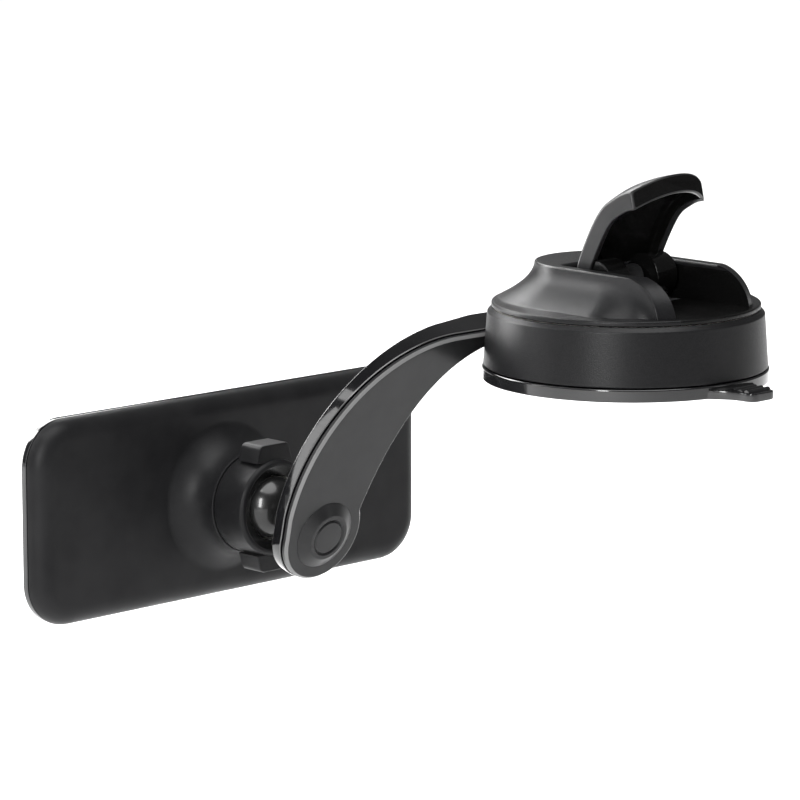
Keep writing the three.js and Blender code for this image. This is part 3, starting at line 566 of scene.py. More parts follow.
# ------------------------------------------------------------------ geometry-node trees
def node_tree(name, sizes):
    """An empty geometry tree with named number inputs, and a maker of its nodes."""
    tree = bpy.data.node_groups.new(name, "GeometryNodeTree")
    tree.interface.new_socket("Geometry", in_out="INPUT", socket_type="NodeSocketGeometry")
    for size, value in sizes.items():
        socket = tree.interface.new_socket(size, in_out="INPUT", socket_type="NodeSocketFloat")
        socket.default_value = value
    tree.interface.new_socket("Geometry", in_out="OUTPUT", socket_type="NodeSocketGeometry")

    def add(kind, settings=None, **inputs):
        node = tree.nodes.new(kind)
        for key, value in (settings or {}).items():
            setattr(node, key, value)
        for key, value in inputs.items():
            socket = node.inputs[key.replace("_", " ")]
            if isinstance(value, bpy.types.NodeSocket):
                tree.links.new(value, socket)
            else:
                socket.default_value = value
        return node

    return tree, add, add("NodeGroupInput").outputs


def close_tree(tree, add, geometry, slot):
    """Ends a tree in Realize Instances and Set Material."""
    real = add("GeometryNodeRealizeInstances", Geometry=geometry)
    painted = add("GeometryNodeSetMaterial", Geometry=real.outputs[0], Material=finishes[slot].material)
    tree.links.new(painted.outputs[0], add("NodeGroupOutput").inputs[0])


def grown(tree, start, sizes):
    """The plain mesh that a tree makes from a start mesh, its inputs set by identifier."""
    holder = bpy.data.objects.new("grower", start)
    bpy.context.scene.collection.objects.link(holder)
    modifier = holder.modifiers.new("grow", "NODES")
    modifier.node_group = tree
    identifiers = {s.name: s.identifier for s in tree.interface.items_tree if s.in_out == "INPUT"}
    for name, value in sizes.items():
        modifier[identifiers[name]] = value
    graph = bpy.context.evaluated_depsgraph_get()
    mesh = bpy.data.meshes.new_from_object(holder.evaluated_get(graph))
    bpy.data.objects.remove(holder)
    return mesh


def vector_of(add, **axes):
    """A vector made from number sockets or plain numbers."""
    return add("ShaderNodeCombineXYZ", **axes).outputs[0]


SCREW = {"Head": 2.2, "Head height": 1.6, "Shank": 1.1, "Length": 6.0, "Recess": 0.5}
COIL = {"Radius": 7.3, "Wire": 0.6, "Turns": 5.0, "Height": 8.0}
RIBS = {"Count": 3, "Pitch": 2.1, "Radius": 0.75, "Length": 8.0}
RECESS_DEPTH = 1.2
RECESS_DROP = 0.9  # from the head's middle to the middle of the cross


def screw_tree():
    """A pan-head screw with a cross recess at every point of the start mesh, head down."""
    tree, add, given = node_tree("screws", SCREW)
    head = add("GeometryNodeMeshCylinder", Vertices=40, Radius=given["Head"], Depth=given["Head height"])
    shank = add("GeometryNodeMeshCylinder", Vertices=32, Radius=given["Shank"], Depth=given["Length"])
    half = add("ShaderNodeMath", {"operation": "MULTIPLY"})
    tree.links.new(given["Length"], half.inputs[0])
    half.inputs[1].default_value = 0.5
    up = vector_of(add, Z=half.outputs[0])
    raised = add("GeometryNodeTransform", Geometry=shank.outputs["Mesh"], Translation=up)
    bars = []
    for x, y in (("Head", "Recess"), ("Recess", "Head")):
        size = vector_of(add, X=given[x], Y=given[y], Z=RECESS_DEPTH)
        bar = add("GeometryNodeMeshCube", Size=size)
        drop = (0, 0, -RECESS_DROP)
        low = add("GeometryNodeTransform", Geometry=bar.outputs["Mesh"], Translation=drop)
        bars.append(low.outputs[0])
    cut = add("GeometryNodeMeshBoolean", {"operation": "DIFFERENCE", "solver": "EXACT"})
    tree.links.new(head.outputs["Mesh"], cut.inputs["Mesh 1"])
    for bar in bars:
        tree.links.new(bar, cut.inputs["Mesh 2"])
    joined = add("GeometryNodeJoinGeometry")
    for part in (cut.outputs["Mesh"], raised.outputs[0]):
        tree.links.new(part, joined.inputs[0])
    spots = add("GeometryNodeMeshToPoints", Mesh=given["Geometry"])
    copies = add("GeometryNodeInstanceOnPoints", Points=spots.outputs[0], Instance=joined.outputs[0])
    close_tree(tree, add, copies.outputs[0], "steel")
    return tree


def rib_tree():
    """Round-backed ribs in a row along Y."""
    tree, add, given = node_tree("ribs", RIBS)
    step = vector_of(add, Y=given["Pitch"])
    row = add("GeometryNodeMeshLine", Count=given["Count"], Offset=step)
    rib = add("GeometryNodeMeshCylinder", Vertices=28, Radius=given["Radius"], Depth=given["Length"])
    lying = add("GeometryNodeTransform", Geometry=rib.outputs["Mesh"], Rotation=(0, math.pi / 2, 0))
    copies = add("GeometryNodeInstanceOnPoints", Points=row.outputs["Mesh"], Instance=lying.outputs[0])
    close_tree(tree, add, copies.outputs[0], "gel_pad")
    return tree


def spring_tree():
    """A coil spring of round wire, its centre line rising from Z = 0."""
    tree, add, given = node_tree("coil", COIL)
    coil = add(
        "GeometryNodeCurveSpiral", Resolution=48, Rotations=given["Turns"], Start_Radius=given["Radius"],
        End_Radius=given["Radius"], Height=given["Height"],
    )
    wire = add("GeometryNodeCurvePrimitiveCircle", Resolution=14, Radius=given["Wire"])
    skin = add(
        "GeometryNodeCurveToMesh", Curve=coil.outputs[0], Profile_Curve=wire.outputs[0], Fill_Caps=True,
    )
    close_tree(tree, add, skin.outputs[0], "spring_steel")
    return tree


# ------------------------------------------------------------------ suction base
TAB_HALF = 4.5
TAB_ROOT = 5.0
TAB_CORNER = 2.5
TAB_THICKNESS = 2.2
NECK_ROUND = 4.5
PAD_RIM = 6.4
PAD_FLOOR = 1.2


def tab_outline(inset):
    """The pull tab from its wide root to its rounded tip, anticlockwise."""
    tip = pad_low.y + inset
    half = TAB_HALF - inset
    root = -pad_radius + TAB_ROOT / 2
    neck = -pad_radius - 0.8 * TAB_ROOT
    corners = [(-half - TAB_ROOT, root, 0), (-half, neck, NECK_ROUND), (-half, tip, TAB_CORNER)]
    corners += [(half, tip, TAB_CORNER), (half, neck, NECK_ROUND), (half + TAB_ROOT, root, 0)]
    return filleted(corners, 8)


def make_gel_pad():
    """The dished sticky pad with its thick rim, its pull tab and the tab's ribs, as one moulding."""
    rim = pad_radius - PAD_RIM
    dish = turned([
        (0, 0, 0), (pad_radius, 0, 0.4), (pad_radius, pad_top, 0.45),
        (rim, pad_top, 0.5), (rim - 0.3, PAD_FLOOR, 0.7), (0, PAD_FLOOR, 0),
    ], 224, 6)
    edge = ((0.35, 0), (0.1, 0.1), (0, 0.35), (0, 1.85), (0.1, 2.1), (0.35, TAB_THICKNESS))
    rows = [[(x, y, height) for x, y in tab_outline(inset)] for inset, height in edge]
    ribs = grown(rib_tree(), bpy.data.meshes.new("none"), RIBS)
    ribs = moved(ribs, Matrix.Translation((0, pad_low.y + TAB_CORNER, TAB_THICKNESS - 0.1)))
    pad = combined(combined(dish, lofted(rows), "UNION"), ribs, "UNION")
    piece("sticky_pad", pad, "base", "gel_pad")


BAND_WALL = 4.1
BAND_DRAFT = 1.0  # how far the band's wall leans in over its height
BAND_BEVEL = 1.1
BAND_LEDGE, BAND_LEDGE_DEPTH = 1.8, 1.2


def make_band():
    """The textured band: a leaning wall, a bevelled top edge and a ledge inside it."""
    inner = band_radius - BAND_WALL
    top = band_high.z
    shoulder = band_radius - BAND_DRAFT
    ledge = inner + BAND_LEDGE
    body = turned([
        (inner, band_low.z, 0.3), (band_radius, band_low.z, 0.35), (shoulder, top - BAND_BEVEL, 0.25),
        (shoulder - BAND_BEVEL, top, 0.25), (ledge, top, 0.1), (ledge, top - BAND_LEDGE_DEPTH, 0),
        (inner, top - BAND_LEDGE_DEPTH, 0),
    ], 256)
    piece("swivel_band", body, "arm", "swivel_ring")


HOOD_BACK = 7.5
HOOD_FLARE = 9.5
HOOD_FRONT = -16.0
HOOD_REACH = 13.0
HOOD_SWEEP = 2.2  # the nose's outer corner stands behind its inner one
HOOD_BLEND = 15.0  # the length over which the cheek's flare grows behind the nose
HOOD_CHEEK = 4.1
CHANNEL_GAP = 0.4
CHANNEL_BACK = 2.0  # behind the hood's arc centre
CHANNEL_POWER = 0.35  # how square the channel's back corners are, 1 for round
NOSE_OVERRUN = 0.3  # how far the nose's quarter ellipse runs past the hood's foot and its top
OUTER_EDGE = 0.45
INNER_EDGE = 1.1
HOOD_STEPS = 34
CAP_LIP, CAP_LIP_DROP = 1.5, 0.22
WINDOW_HALF_X, WINDOW_HALF_Y = 12.6, 8.1  # the opening round the lever's cams


def hood_row(z, t):
    """One level line of the hood: t is 0 on the outer skin and 1 on the channel's wall."""
    down = (hood_top - z) / HOOD_FLARE
    channel = lever_half + CHANNEL_GAP
    corner = channel + HOOD_CHEEK - edge_round(z, OUTER_EDGE)
    flare = HOOD_FLARE * down * down
    outer = corner + flare
    offset = edge_round(z, INNER_EDGE)
    rise = (z - cap_low.z + NOSE_OVERRUN) / (hood_top - cap_low.z + 2 * NOSE_OVERRUN)
    front = HOOD_FRONT - HOOD_REACH * math.sqrt(1 - rise * rise)
    half = []
    for i in range(7):  # across the nose of the cheek
        x_out = channel + (corner - OUTER_EDGE - channel) * i / 6
        x_in = channel + offset * i / 6
        half.append((x_out + (x_in - x_out) * t, front + HOOD_SWEEP * i / 6))
    for i in range(1, 5):  # round the nose's outer corner
        turn = math.pi / 2 * i / 4
        x_out = corner - OUTER_EDGE * (1 - math.sin(turn))
        y = front + HOOD_SWEEP + OUTER_EDGE * (1 - math.cos(turn))
        half.append((x_out + (channel + offset - x_out) * t, y))
    start = front + HOOD_SWEEP + OUTER_EDGE
    for i in range(1, 40):  # along the cheek
        y = start + (HOOD_BACK - start) * i / 40
        x_out = corner + flare * smooth_step(y, start, start + HOOD_BLEND)
        half.append((x_out + (channel + offset - x_out) * t, y))
    for i in range(49):  # round the back
        turn = math.pi / 2 * i / 48
        c, s = math.cos(turn), math.sin(turn)
        x_in = (channel + offset) * c ** CHANNEL_POWER
        y_in = (CHANNEL_BACK + offset) * s ** CHANNEL_POWER
        half.append((outer * c + (x_in - outer * c) * t, HOOD_BACK + outer * s + (y_in - outer * s) * t))
    row = half + [(-x, y) for x, y in reversed(half[:-1])]
    return [clipped(x, y, z) for x, y in row]


def edge_round(z, radius):
    """How far a vertical wall leans in near the hood's top, as a quarter round of this radius."""
    over = max(0.0, z - (hood_top - radius))
    return radius - math.sqrt(max(0.0, radius * radius - over * over))


def clipped(x, y, z):
    """A point of the hood kept inside the cap's rim."""
    reach = math.hypot(x, y)
    scale = min(1.0, (cap_radius - 0.15) / reach)
    return (x * scale, y * scale, z)


def on_crest(at, way):
    """Whether a face belongs to the rounded edge round the hood's top, outside the channel."""
    side = abs(at.x) - lever_half - CHANNEL_GAP
    outside = side > 2 or at.y > HOOD_BACK + 6
    return at.z > hood_top - OUTER_EDGE and 0.15 < way.z < 0.97 and outside and at.y > HOOD_FRONT + 3


def in_channel(at, way):
    """Whether a face of the cap belongs to the finger channel, below its rounded edge."""
    reach = lever_half + CHANNEL_GAP + 0.2
    return abs(at.x) < reach and at.y < HOOD_BACK + 3 and at.z < hood_top - INNER_EDGE


def make_hood_cap():
    """The cap plate with its lip, the hood on it, and the window under the lever."""
    low = CAP_FLOOR - 0.7
    turns = [math.pi / 2 * k / HOOD_STEPS for k in range(HOOD_STEPS + 1)]
    heights = [low + (hood_top - low) * math.sin(turn) for turn in turns]
    rows = [hood_row(z, 0) for z in heights]
    rows += [hood_row(hood_top, t / 8) for t in range(1, 8)]
    rows += [hood_row(z, 1) for z in reversed(heights)]
    count = len(rows[0])
    faces = []
    for k in range(len(rows)):
        n = (k + 1) % len(rows)
        for i in range(count - 1):
            faces.append((k * count + i, k * count + i + 1, n * count + i + 1, n * count + i))
    hood = mesh_from([p for row in rows for p in row], faces)
    under = cap_low.z
    lip = under - CAP_LIP_DROP
    plate = turned([
        (0, under, 0), (cap_radius - CAP_LIP - 0.1, under, 0), (cap_radius - CAP_LIP, lip, 0),
        (cap_radius - 0.7, lip, 0), (cap_radius - 0.6, under, 0), (cap_radius, under, 0.15),
        (cap_radius, CAP_FLOOR, 0.55), (0, CAP_FLOOR, 0),
    ], 256)
    window = cuboid(
        (-WINDOW_HALF_X, -WINDOW_HALF_Y, under - 1), (WINDOW_HALF_X, WINDOW_HALF_Y, CAP_FLOOR + 0.35),
    )
    cap = combined(combined(plate, hood, "UNION"), window, "DIFFERENCE")
    # The channel's faces get painted shade and the crest's rounded edge gets a painted highlight.
    marked(cap, "recess", in_channel)
    marked(cap, "edge", on_crest)
    piece("hooded_cap", cap, "base", "hood_cap")


# ------------------------------------------------------------------ lever
FLANK_LINE = [(3.5, 2), (2.9, 6.4), (-1.3, 15), (-4.9, 20.1), (-8.9, 22.9), (-12, 24.4), (-14.5, 25)]
CROWN_LINE = [(3.7, 2), (3.4, 7), (-0.1, 16.2), (-3.9, 21.8), (-8.7, 25.6), (-13.7, 27.6), (-18.5, 28.8)]
FLANK_DEPTH = 4.7
FLANK_WALL = 2.0
LEVER_SKIN = 2.2
CROWN_POWER = 2.2
HOLLOW_TO, HOLLOW_FADE = 0.94, 0.018  # where the hollow ends along the lever, and over what length
CAM_RADIUS = 5.6
CAM_OUTER = 12.3
LUG_ROOM = 4.9  # radius and half width of the space for the lift stem's lug
PIN_RADIUS, PIN_HOLE = 1.45, 1.55
HALF_TURN = math.radians(31)
CAM_CENTRE = Vector((-1.25 / math.tan(HALF_TURN), 1.25))  # from the pin


def along(line, t):
    """A point of the smooth curve through a line's points, and its direction."""
    spans = len(line) - 1
    k = min(int(t * spans), spans - 1)
    w = t * spans - k
    ends = [Vector(p) for p in line]
    ends = [2 * ends[0] - ends[1]] + ends + [2 * ends[-1] - ends[-2]]
    a, b, c, d = ends[k:k + 4]
    pull, bend, twist = c - a, 2 * a - 5 * b + 4 * c - d, 3 * b - a - 3 * c + d
    spot = 0.5 * (2 * b + pull * w + bend * w ** 2 + twist * w ** 3)
    way = 0.5 * (pull + 2 * bend * w + 3 * twist * w ** 2)
    return spot, way.normalized()


def lever_section(u, inset):
    """The lever's filleted channel section at a place along it, from root 0 to tip 1."""
    hollow = 1 - smooth_step(u, HOLLOW_TO, HOLLOW_TO + HOLLOW_FADE)
    half = lever_half - inset
    base = FLANK_DEPTH - inset
    ceiling = base - 0.02 - (base - 0.02 - LEVER_SKIN) * hollow
    wall = half - FLANK_WALL + inset
    steps = 20
    corners = [(-half, inset, 0.7)]
    corners += [(-half + 2 * half * i / steps, inset, 0) for i in range(1, steps)]
    corners += [(half, inset, 0.7), (half, base, 0.45), (wall, base, 0.4), (wall, ceiling, 0.9)]
    corners += [(wall - 2 * wall * i / steps, ceiling, 0) for i in range(1, steps)]
    corners += [(-wall, ceiling, 0.9), (-wall, base, 0.4), (-half, base, 0.45)]
    ring = []
    for x, depth in filleted(corners, 4):
        crown = 1 - min(1.0, abs(x) / lever_half) ** CROWN_POWER
        flank, flank_way = along(FLANK_LINE, u)
        middle, middle_way = along(CROWN_LINE, u)
        spot = flank.lerp(middle, crown)
        way = flank_way.lerp(middle_way, crown).normalized()
        inward = Vector((-way.y, way.x))
        ring.append((x, pin.y + spot.x + inward.x * depth, pin.z + spot.y + inward.y * depth))
    return ring


def in_hollow(at, way):
    """Whether a face of the lever lies on a cam or looks into the hollow under its skin."""
    spot = Vector((at.y - pin.y, at.z - pin.z))
    if (spot - CAM_CENTRE).length < CAM_RADIUS + 0.1 and abs(at.x) < lever_half - 0.5:
        return True
    if abs(at.x) > lever_half - FLANK_WALL + 0.15:
        return False
    crown = 1 - min(1.0, abs(at.x) / lever_half) ** CROWN_POWER
    line = [along(FLANK_LINE, u / 40)[0].lerp(along(CROWN_LINE, u / 40)[0], crown) for u in range(41)]
    gaps = [(p - spot).length for p in line]
    nearest = min(range(41), key=gaps.__getitem__)
    return gaps[nearest] > LEVER_SKIN - 0.5 and nearest < 39


def rod_x(radius, x0, x1, y, z):
    """A rod along X with softened ends."""
    rod = turned([(0, x0, 0), (radius, x0, 0.35), (radius, x1, 0.35), (0, x1, 0)], 96)
    return moved(rod, Matrix.Translation((0, y, z)) @ Matrix.Rotation(math.pi / 2, 4, "Y"))


def make_lever():
    """The curled blade with two cams on its root, and the room for the lug and the pin."""
    stations = [0.05 + 0.95 * i / 90 for i in range(90)]
    stations += [HOLLOW_TO + HOLLOW_FADE * i / 8 for i in range(9)]
    rings = [lever_section(u, 0) for u in sorted(set(stations))]
    for u, inset in ((0.9925, 0.03), (0.9965, 0.13), (0.999, 0.3), (1.0, 0.5)):
        rings.append(lever_section(u, inset))
    blade = lofted(rings)
    for x0, x1 in ((-CAM_OUTER, -LUG_ROOM), (LUG_ROOM, CAM_OUTER)):
        cam = rod_x(CAM_RADIUS, x0, x1, pin.y + CAM_CENTRE.x, pin.z + CAM_CENTRE.y)
        blade = combined(blade, cam, "UNION")
    for room in (rod_x(LUG_ROOM, -LUG_ROOM, LUG_ROOM, pin.y, pin.z), rod_x(PIN_HOLE, -20, 20, pin.y, pin.z)):
        blade = combined(blade, room, "DIFFERENCE")
    # The hollow and the cams get painted shade and a glossier roughness.
    marked(blade, "recess", in_hollow)
    piece("locking_lever", blade, "lever", "lever")


def make_hinge_pin():
    low, high = box_mm("hinge_pin")
    piece("lever_pin", rod_x(PIN_RADIUS, low.x, high.x, pin.y, pin.z), "plunger", "hinge_pin")


def make_spring():
    """The coil over the lift stem, which the rising stem squeezes from below; here it stands at the CAD node's
    height.
    """
    wire = COIL["Wire"]
    height = spring_high.z - spring_low.z
    mesh = grown(spring_tree(), bpy.data.meshes.new("none"), {**COIL, "Height": height - 2 * wire})
    standing = moved(mesh, Matrix.Translation((0, 0, spring_low.z + wire)))
    coil = piece("return_spring", standing, "base", "release_spring")
    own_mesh(coil)


# ------------------------------------------------------------------ arm
SPINE = Vector((33.4, 4.9))
SPINE_RX, SPINE_RY = 46.6, 45.0
ROOT_X, ROOT_HEIGHT = 53.4, 4.9
INNER_BEND_X, INNER_BEND_Y = 19.9, 38.4  # the inner sweep's control point
INNER_END_X = 43.0  # where the inner sweep meets the straight root
END_RADIUS = 12.7
END_JOIN = math.radians(25)
COVER_THICKNESS = 1.5
FRAME_START = 1.8
FRAME_TIP, FRAME_ROOT = 3.4, 8.6
FRAME_TIP_X, FRAME_FLAT_X = -14.6, 45.4
FRAME_ROUND = 0.5
ROOM_GAP = 0.15
LAND_RADIUS, LAND_LOW, LAND_TOP = 8.1, 2.7, 6.0
BOSS_RADIUS, BOSS_TOP = 8.75, 1.8
GROOVE_RADIUS = 4.5
FLANGE_RADIUS, FLANGE_START = 7.5, 6.3
NECK_RADIUS = 3.75


def arm_outline(inset):
    """The horn's outline set in by a margin: outer sweep, round end, inner sweep."""
    top = SPINE.y + SPINE_RY - inset
    low = SPINE.y + SPINE_RY - ROOT_HEIGHT + inset
    points = [Vector((ROOT_X + (SPINE.x - ROOT_X) * i / 8, top)) for i in range(8)]
    rx, ry = SPINE_RX - inset, SPINE_RY - inset
    for i in range(72):
        turn = math.pi / 2 * (1 + i / 72)
        points.append(SPINE + Vector((rx * math.cos(turn), ry * math.sin(turn))))
    for i in range(61):
        turn = math.pi + (math.pi + END_JOIN) * i / 60
        points.append((END_RADIUS - inset) * Vector((math.cos(turn), math.sin(turn))))
    start, end = points[-1], Vector((INNER_END_X, low))
    bend = Vector((INNER_BEND_X - 0.8 * inset, INNER_BEND_Y + 0.8 * inset))
    points += [curved(start, bend, end, i / 72) for i in range(1, 73)]
    points += [Vector((INNER_END_X + (ROOT_X - INNER_END_X) * i / 8, low)) for i in range(1, 9)]
    return points


def frame_depth(x):
    """The depth of the spine's far face, shallow at the tip and deep at the root."""
    share = max(0.0, min(x, FRAME_FLAT_X) - FRAME_TIP_X) / (FRAME_FLAT_X - FRAME_TIP_X)
    return FRAME_START + FRAME_TIP + (FRAME_ROOT - FRAME_TIP) * share * share


def strap(levels):
    """A solid along the arm through levels of (inset, depth of a point), its two faces laddered."""
    rings = [[(p.x, p.y, -depth(p.x)) for p in arm_outline(inset)] for inset, depth in levels]
    count = len(rings[0])
    points = [p for ring in rings for p in ring]
    faces = []
    for k in range(len(rings) - 1):
        for i in range(count):
            a, b = k * count + i, k * count + (i + 1) % count
            faces.append((a, b, b + count, a + count))
    columns = 6
    for inset, depth in (levels[0], levels[-1]):
        outline = arm_outline(inset)
        first = len(points)
        for i in range(count // 2 + 1):
            for c in range(columns + 1):
                p = outline[i].lerp(outline[count - 1 - i], c / columns)
                points.append((p.x, p.y, -depth(p.x)))
        for i in range(count // 2):
            for c in range(columns):
                a = first + i * (columns + 1) + c
                faces.append((a, a + 1, a + columns + 2, a + columns + 1))
    return mesh_from(points, faces)


def band_room():
    """The space that the band takes out of the arm, in the arm's own frame."""
    radius = band_radius + ROOM_GAP
    space = turned([(0, -60, 0), (radius, -60, 0), (radius, 60, 0), (0, 60, 0)], 256)
    return moved(space, ARM_PLACE.inverted())


def make_arm_frame():
    """The gloss spine of the horn, and the land that the ball stud stands on."""
    levels = [
        (0.45, lambda x: FRAME_START), (0.12, lambda x: FRAME_START + 0.1), (0, lambda x: FRAME_START + 0.4),
    ]
    for inset, less in quarter_round(FRAME_ROUND, 6):
        levels.append((inset, lambda x, less=less: frame_depth(x) - less))
    body = combined(strap(levels), band_room(), "DIFFERENCE")
    land = turned([
        (0, LAND_LOW, 0), (LAND_RADIUS, LAND_LOW, 0), (LAND_RADIUS, LAND_TOP, 0.3), (0, LAND_TOP, 0),
    ], 96)
    body = combined(body, moved(land, STUD_PLACE), "UNION")
    # The spine's sloping edge faces get a painted highlight.
    marked(body, "edge", lambda at, way: 0.2 < abs(way.z) < 0.95)
    piece("arm_spine", body, "arm", "arm_frame", place=ARM_PLACE)


def make_arm_cover():
    """The satin side panel, with a bevel round its face and a shadow line behind it."""
    levels = [
        (0.45, lambda x: COVER_THICKNESS), (0.35, lambda x: COVER_THICKNESS - 0.1), (0.35, lambda x: 0.66),
        (0.38, lambda x: 0.58), (0.93, lambda x: 0.05), (1.05, lambda x: 0.0), (1.4, lambda x: 0.0),
    ]
    body = combined(strap(levels), band_room(), "DIFFERENCE")
    # The panel's bevel gets a painted highlight.
    marked(body, "edge", lambda at, way: 0.3 < way.z < 0.95)
    piece("arm_side_panel", body, "arm", "arm_side_cover", place=ARM_PLACE)


def make_boss_cap():
    """The raised cap on the arm's round end, with a ring groove in its top and a sloping side."""
    inner, outer = GROOVE_RADIUS - 0.45, GROOVE_RADIUS + 0.45
    cap = turned([
        (0, BOSS_TOP, 0), (inner, BOSS_TOP, 0.12), (GROOVE_RADIUS, BOSS_TOP - 0.5, 0.12),
        (outer, BOSS_TOP, 0.12), (5.9, BOSS_TOP, 0.25), (BOSS_RADIUS, 0.12, 0.12),
        (BOSS_RADIUS, -0.05, 0), (0, -0.05, 0),
    ], 144)
    piece("boss_cover", cap, "arm", "boss_cap", place=ARM_PLACE)


def make_ball_stud():
    """The flange, the neck and the ball, turned as one."""
    corners = [
        (0, FLANGE_START, 0), (FLANGE_RADIUS, FLANGE_START, 0.2), (FLANGE_RADIUS, FLANGE_START + 1.5, 0.4),
        (NECK_RADIUS, FLANGE_START + 2.3, 1.2),
    ]
    meet = math.asin(NECK_RADIUS / BALL_RADIUS)
    for i in range(29):
        turn = meet + (math.pi - meet) * i / 28
        corners.append((BALL_RADIUS * math.sin(turn), BALL_REACH - BALL_RADIUS * math.cos(turn), 0))
    corners[-1] = (0, BALL_REACH + BALL_RADIUS, 0)
    stud = turned(corners, 128)
    marked(stud, "haze", lambda at, way: True)
    piece("ball_and_neck", moved(stud, STUD_PLACE), "arm", "ball_stud", place=ARM_PLACE)


# ------------------------------------------------------------------ collar nut and head
SOCKET_RADIUS = 11.3
NUT_RADIUS = 12.5
NUT_LIP = 8.1
NUT_MOUTH = 10.5
NUT_BACK = 5.3
WING_HALF = 4.75
WING_FOOT = 11.8
WING_EDGE = ((0.5, -3.7), (0.14, -3.55), (0, -3.2), (0, 3.2), (0.14, 3.55), (0.5, 3.7))  # inset, height


def make_nut():
    """The collar round the ball, with its bevelled mouth and two wings."""
    front = nut_low.y - ball.y
    body = turned([
        (NUT_LIP, front + 1.4, 0.3), (NUT_MOUTH + 0.3, front, 0.15), (NUT_RADIUS - 1.0, front, 0.3),
        (NUT_RADIUS - 0.3, front + 0.7, 0.3), (NUT_RADIUS, NUT_BACK, 0.3), (SOCKET_RADIUS, NUT_BACK, 0.1),
        (SOCKET_RADIUS, -1.3, 0), (9.9, -1.3, 0), (9.3, -3.2, 0),
    ], 144)
    # The faces inside the mouth get painted shade and a glossier roughness.
    marked(body, "recess", lambda at, way: math.hypot(at.x, at.y) < NUT_MOUTH - 0.3)
    reach = nut_high.z - ball.z
    for side in (1, -1):
        rows = []
        for inset, height in WING_EDGE:
            tip, half = reach - inset, WING_HALF - inset
            foot = half + 1.2
            corners = [(-foot, WING_FOOT, 0), (foot, WING_FOOT, 0), (half, tip, 1.3), (-half, tip, 1.3)]
            rows.append([(side * a, side * b, height) for a, b in filleted(corners, 6)])
        body = combined(body, lofted(rows), "UNION")
    piece("clamp_nut", body, "nut", "collar_nut", place=HEAD_PLACE)


HEAD_CORNER = 11.5
HEAD_CROWN = 5.0
HEAD_WALL = 1.8
HEAD_BACK = 15.6  # from the ball's centre to the plate's back
FLARE_RADIUS = 19.6
FLARE_STEPS = 16
BEZEL_ROUND = 0.8
PAD_INSET, PAD_ROUND = 1.9, 0.4
head_half_x = (shell_high.x - shell_low.x) / 2
head_half_z = (shell_high.z - shell_low.z) / 2
head_middle = (shell_low.x + shell_high.x) / 2 - ball.x
shell_front = shell_high.y - ball.y


def plate_outline(inset, level):
    """A rounded rectangle of the head's size, set in by a margin."""
    half_x, half_z = head_half_x - inset, head_half_z - inset
    radius = max(HEAD_CORNER - inset, 1.0)
    points = []
    for k, (sx, sz) in enumerate(((1, 1), (-1, 1), (-1, -1), (1, -1))):
        for i in range(25):
            turn = math.pi / 2 * (k + i / 24)
            points.append((
                head_middle + sx * (half_x - radius) + radius * math.cos(turn),
                sz * (half_z - radius) + radius * math.sin(turn), level,
            ))
    return points


def crown_rows(inset, level, crown, end):
    """Rows of a slab's rounded edge, from its flat face out to its full size and on to a level."""
    rows = [plate_outline(inset + crown + 1.2, level)]
    for depth, less in quarter_round(crown, 9):
        if level + depth < end - 0.05:
            rows.append(plate_outline(inset + less, level + depth))
    rows.append(plate_outline(inset, end))
    return rows


def make_head_shell():
    """The hollow plate back with its rounded edge, and the flare that spreads from the nut to it."""
    outer = lofted(crown_rows(0, HEAD_BACK, HEAD_CROWN, shell_front))
    inner = lofted(crown_rows(HEAD_WALL, HEAD_BACK + HEAD_WALL, HEAD_CROWN - HEAD_WALL, shell_front + 1))
    start = NUT_BACK + 0.3
    flare = [(SOCKET_RADIUS, start, 0), (NUT_RADIUS + 0.3, start, 0.3)]
    for i in range(1, FLARE_STEPS + 1):
        t = i / FLARE_STEPS
        spread = 0.75 * t ** 2.6 + 0.25 * (1 - math.sqrt(1 - t * t))
        radius = NUT_RADIUS + 0.3 + (FLARE_RADIUS - NUT_RADIUS - 0.3) * spread
        flare.append((radius, start + (HEAD_BACK + 0.03 - start) * t, 0))
    flare += [(FLARE_RADIUS - 0.5, HEAD_BACK + 1.2, 0), (SOCKET_RADIUS, HEAD_BACK + 1.2, 0)]
    body = combined(outer, inner, "DIFFERENCE")
    body = combined(body, turned(flare, 160), "UNION")
    bore = turned([(0, 0, 0), (SOCKET_RADIUS, 0, 0), (SOCKET_RADIUS, 30, 0), (0, 30, 0)], 96)
    piece("head_back", combined(body, bore, "DIFFERENCE"), "head", "head_back_shell", place=HEAD_PLACE)


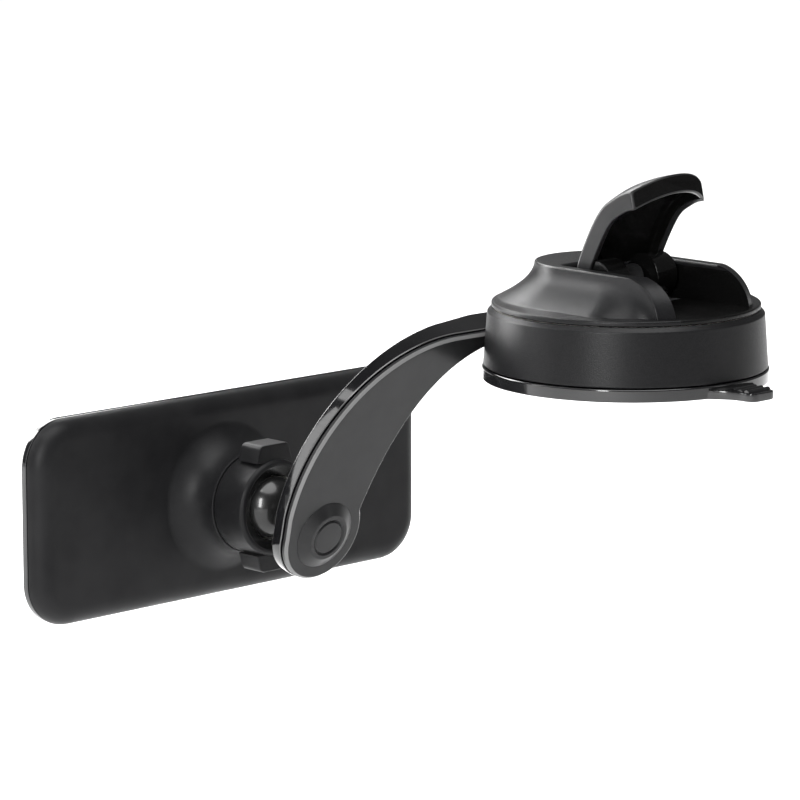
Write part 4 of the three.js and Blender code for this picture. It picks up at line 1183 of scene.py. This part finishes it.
def make_front_frame():
    """The front bezel, a thin tray with a rounded rim."""
    back, front = bezel_low.y - ball.y, bezel_high.y - ball.y
    rows = [plate_outline(0.3, back), plate_outline(0.08, back + 0.1), plate_outline(0, back + 0.35)]
    rows += [plate_outline(inset, front - less) for inset, less in quarter_round(BEZEL_ROUND, 5)]
    rows.append(plate_outline(1.3, front))
    rows.append(plate_outline(1.6, front - 0.3))
    rows.append(plate_outline(1.6, back + 1))
    piece("front_bezel", lofted(rows), "head", "front_frame", place=HEAD_PLACE)


def make_front_pad():
    """The soft face that the phone rests on."""
    back, front = face_low.y - ball.y, face_high.y - ball.y
    rows = [plate_outline(PAD_INSET, back)]
    for inset, less in quarter_round(PAD_ROUND, 4):
        rows.append(plate_outline(PAD_INSET + inset, front - less))
    rows.append(plate_outline(3.4, front))
    piece("phone_face_pad", lofted(rows), "head", "front_pad", place=HEAD_PLACE)


# ------------------------------------------------------------------ fasteners
SCREW_HEADS = {"cap_screw": 1.6, "core_screw": 1.0, "head_screw": 0.6}


def make_screws(tree, stem, body):
    """Four screws of one kind, along Z with heads down in the base and along Y in the head plate."""
    names = [f"{stem}_{i}" for i in range(1, 5)]
    upright = body == "base"
    axis = 2 if upright else 1
    boxes = [box_mm(name) for name in names]
    spots = [(low + high) / 2 for low, high in boxes]
    low, high = boxes[0]
    length = high[axis] - low[axis]
    head = SCREW_HEADS[stem]
    turn = Matrix.Identity(4) if upright else Matrix.Rotation(math.pi / 2, 4, "X")
    start = bpy.data.meshes.new("spots")
    start.from_pydata([turn.inverted() @ p for p in spots], [], [])
    mesh = grown(tree, start, {**SCREW, "Head height": head, "Length": length - head / 2})
    middle = low[axis] + head / 2 if upright else high[axis] - head / 2
    shift = Vector((0, 0, 0))
    shift[axis] = middle - spots[0][axis]
    piece(f"{stem}s", moved(mesh, Matrix.Translation(shift) @ turn), body, *names)


# ------------------------------------------------------------------ the mount
make_camera()
make_lights()
make_floor()

for node, shown in frame["nodes"].items():
    shown.data.materials.clear()
    shown.data.materials.append(finishes[slot_of[node]].material)

make_gel_pad()
make_band()
make_hood_cap()
make_lever()
make_hinge_pin()
make_spring()
make_arm_frame()
make_arm_cover()
make_boss_cap()
make_ball_stud()
make_nut()
make_head_shell()
make_front_frame()
make_front_pad()
screws = screw_tree()
make_screws(screws, "cap_screw", "base")
make_screws(screws, "core_screw", "head")
make_screws(screws, "head_screw", "head")
